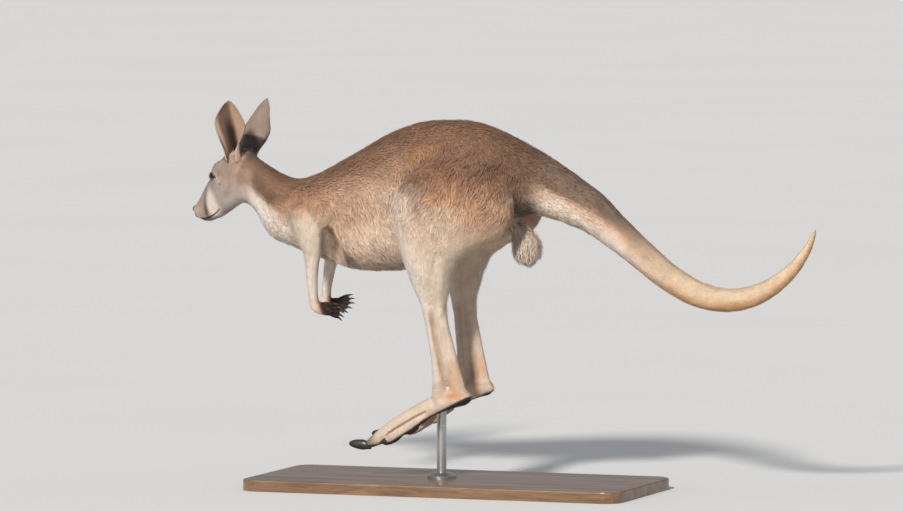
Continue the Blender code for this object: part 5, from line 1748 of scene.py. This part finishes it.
def make_claws():
    for side, hand in ((-1.0, "left"), (1.0, "right")):
        shift = RIGHT_FOOT_SHIFT if side > 0 else np.zeros(3)
        for toe, start, way, *measures in FOOT_CLAWS:
            place = np.array(start) * (1.0, side, 1.0) + shift
            make_claw(f"horn_{hand}_foot_{toe}", f"{hand}_foot_claw_{toe}", place, way, *measures)
        knuckle = np.array(KNUCKLE) * (1.0, side, 1.0) + (FAR_REACH if side > 0 else 0.0, 0.0, 0.0)
        for number, (spread, length) in enumerate(FINGERS, 1):
            turn, fan, lean = finger_line(spread, side)
            level, upright = math.cos(HAND_ROLL), side * math.sin(HAND_ROLL)
            way = unit(np.array((math.cos(turn), lean * level, DROP[side] + lean * upright)))
            place = knuckle + (0.0, fan * level, fan * upright) + way * (length + CLAW_ROOT)
            make_claw(f"horn_{hand}_hand_{number}", f"{hand}_hand_claw_{number}", place, way, *HAND_CLAW)


make_claws()

# %% [markdown]
# ## Whiskers and lashes
# The stiff hairs of the face stand clear of the coat: whiskers on the upper lip, lashes on the upper lid.
# Each is a thin bent cone, closed at both ends: a copy of one plain rod, drawn out. Whiskers root where the
# skin is nearest to a grid of follicles; lashes root along the curve of the lid.

# %% Grow stiff hairs
WHISKER_ROWS = ((0.703, (-0.127, -0.119, -0.111)), (0.709, (-0.130, -0.122, -0.114, -0.106)),
                (0.715, (-0.131, -0.123, -0.115, -0.107)))
WHISKER, LASH = (0.032, 0.00022), (0.0052, 0.00020)
HAIR_RINGS, HAIR_SIDES = 5, 5


def stiff_material():
    material, tree, shader = new_material("stiff_hair", Roughness=0.45, Specular_IOR_Level=0.4)
    change = cloud(tree, object_place(tree), 300.0, 2.0)
    tint = tinted(tree, change, (0.0, 0.012, 0.009, 0.008), (1.0, 0.060, 0.045, 0.038))
    feed(tree, shader, Base_Color=tint)
    return material


def whisker_roots(stream):
    roots, ways = [], []
    for side in (-1.0, 1.0):
        own = np.flatnonzero(FACE & (SIDES == side) & (np.abs(HEAD_POINTS[:, 1]) > 0.006))
        for height, steps in WHISKER_ROWS:
            for step in steps:
                wanted = np.array((step, height)) + stream.normal(0.0, 0.0008, 2)
                nearest = own[np.linalg.norm(HEAD_POINTS[own][:, (0, 2)] - wanted, axis=1).argmin()]
                back = out_of_head(np.array(((0.75, 0.0, -0.18),)))[0]
                roots.append(POINTS[nearest])
                ways.append(NORMALS[nearest] * 0.70 + back + stream.normal(0.0, 0.10, 3))
    return np.array(roots), unit(np.array(ways))


def lash_roots(stream):
    long = np.linspace(-0.80, 0.80, 14) * EYE_HALF_LONG
    tall = EYE_UPPER * (1.0 - (long / EYE_HALF_LONG) ** 2) ** 0.80
    ways = over_ball(long, tall)
    roots = np.array(EYE_AT) + ways * (EYE_RADIUS + LID)
    ways = unit(ways * 0.80 + EYE_TALL * 0.25 + stream.normal(0.0, 0.06, (14, 3)))
    roots, ways = np.tile(roots, (2, 1)), np.tile(ways, (2, 1))
    sides = np.repeat((-1.0, 1.0), 14)
    return out_of_head(mirrored(roots, sides)) + HEAD_AT, out_of_head(mirrored(ways, sides))


def make_rod():
    """A plain upright rod of a few rings; each hair is a copy of it, drawn out along its own way."""
    work = bmesh.new()
    bmesh.ops.create_cone(work, cap_ends=True, segments=HAIR_SIDES, radius1=1.0, radius2=1.0, depth=1.0)
    upright = [edge for edge in work.edges if edge.verts[0].co.z * edge.verts[1].co.z < 0.0]
    bmesh.ops.subdivide_edges(work, edges=upright, cuts=HAIR_RINGS - 2)
    bmesh.ops.recalc_face_normals(work, faces=work.faces)
    return from_bmesh("rod", work)


def stiff_hairs(name, roots, ways, measure, finish, stream):
    length, thick = measure
    lengths = (length * stream.uniform(0.75, 1.15, len(roots)))[:, None, None]
    across = unit(np.cross(ways, (0.0, 0.0, 1.0)))
    above = np.cross(across, ways)[:, None, :]
    rod = make_rod()
    x, y, z = read_points(rod.data).T
    share, thin = z + 0.5, thick * (1.0 - 0.8 * (z + 0.5))
    middle = (roots[:, None, :] + ways[:, None, :] * (lengths * share[:, None] - 0.0010)
              - above * (0.16 * lengths * share[:, None] ** 2))
    places = middle + across[:, None, :] * (y * thin)[:, None] - above * (x * thin)[:, None]
    work = bmesh.new()
    for _ in roots:
        work.from_mesh(rod.data)
    discard(rod)
    piece = from_bmesh(name, work)
    write_points(piece.data, places.reshape(-1, 3))
    piece.data.shade_smooth()
    piece.data.materials.append(finish)
    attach(piece, "root")
    print(f"{name}: {len(roots)} hairs, {len(piece.data.polygons)} faces")


def grow_stiff_hairs():
    stream = np.random.default_rng(77)
    finish = stiff_material()
    stiff_hairs("whiskers", *whisker_roots(stream), WHISKER, finish, stream)
    stiff_hairs("eyelashes", *lash_roots(stream), LASH, finish, stream)


grow_stiff_hairs()

# %% [markdown]
# ## Stand
# The board is varnished wood with its grain along its length, and the rod and collar are brushed steel. Both
# keep their CAD shape and only get a finish. The grain is a noise stretched along one axis and bent by a
# second, slower noise.

# %% Finish the stand
def stretched(tree, place, scale):
    return add_node(tree, "ShaderNodeMapping", Vector=place, Scale=scale).outputs["Vector"]


def wood_material():
    material, tree, shader = new_material("varnished_wood", Coat_Weight=0.35, Coat_Roughness=0.18)
    place = object_place(tree)
    bend = cloud(tree, place, 2.2, 2.0, "Color")
    shifted = add_node(tree, "ShaderNodeVectorMath", {"operation": "MULTIPLY_ADD"}, _0=bend,
                       _1=(0.4, 1.6, 1.6), _2=stretched(tree, place, (1.1, 17.0, 17.0)))
    grain = cloud(tree, shifted.outputs["Vector"], 1.6, 7.0, Roughness=0.62, Distortion=0.6)
    pores = cloud(tree, stretched(tree, place, (26.0, 420.0, 420.0)), 1.0, 3.0)
    tint = tinted(tree, grain, (0.30, 0.115, 0.058, 0.028), (0.68, 0.300, 0.170, 0.085))
    feed(tree, shader, Base_Color=scaled(tree, tint, remap(tree, pores, 0.30, 0.55, 0.62, 1.0)),
         Roughness=remap(tree, grain, 0.3, 0.7, 0.46, 0.32))
    raise_by(tree, shader, pores, 0.25, 0.0005)
    return material


def steel_material():
    material, tree, shader = new_material("brushed_steel")
    place = object_place(tree)
    brushed = cloud(tree, stretched(tree, place, (60.0, 60.0, 1400.0)), 1.0, 3.0)
    smudge = cloud(tree, place, 14.0, 3.0)
    tint = tinted(tree, smudge, (0.25, 0.40, 0.395, 0.385), (0.75, 0.60, 0.595, 0.58))
    feed(tree, shader, Base_Color=tint, Roughness=remap(tree, brushed, 0.3, 0.7, 0.24, 0.42),
         Metallic=remap(tree, smudge, 0.2, 0.8, 0.96, 1.0))
    raise_by(tree, shader, brushed, 0.15, 0.0002)
    return material


def finish_stand():
    wood, steel = wood_material(), steel_material()
    for name, finish in (("stand_base", wood), ("stand_rod", steel), ("stand_collar", steel)):
        for slot in NODES[name].material_slots:
            slot.material = finish
    print("stand finished")


finish_stand()

# %% [markdown]
# The floor only catches light and shadow. It is a wide pale sheet with a slight mottle.

# %% Floor
def lay_floor():
    work = bmesh.new()
    bmesh.ops.create_circle(work, cap_ends=True, segments=64, radius=70.0)
    bmesh.ops.translate(work, vec=(0.0, 0.0, CAD_LOW.z), verts=work.verts)
    floor = from_bmesh("pale_floor", work)
    material, tree, shader = new_material("pale_paper", Roughness=0.9)
    mottle = cloud(tree, object_place(tree), 0.8, 3.0)
    feed(tree, shader, Base_Color=tinted(tree, mottle, (0.0, 0.76, 0.76, 0.755), (1.0, 0.80, 0.80, 0.795)))
    floor.data.materials.append(material)


lay_floor()
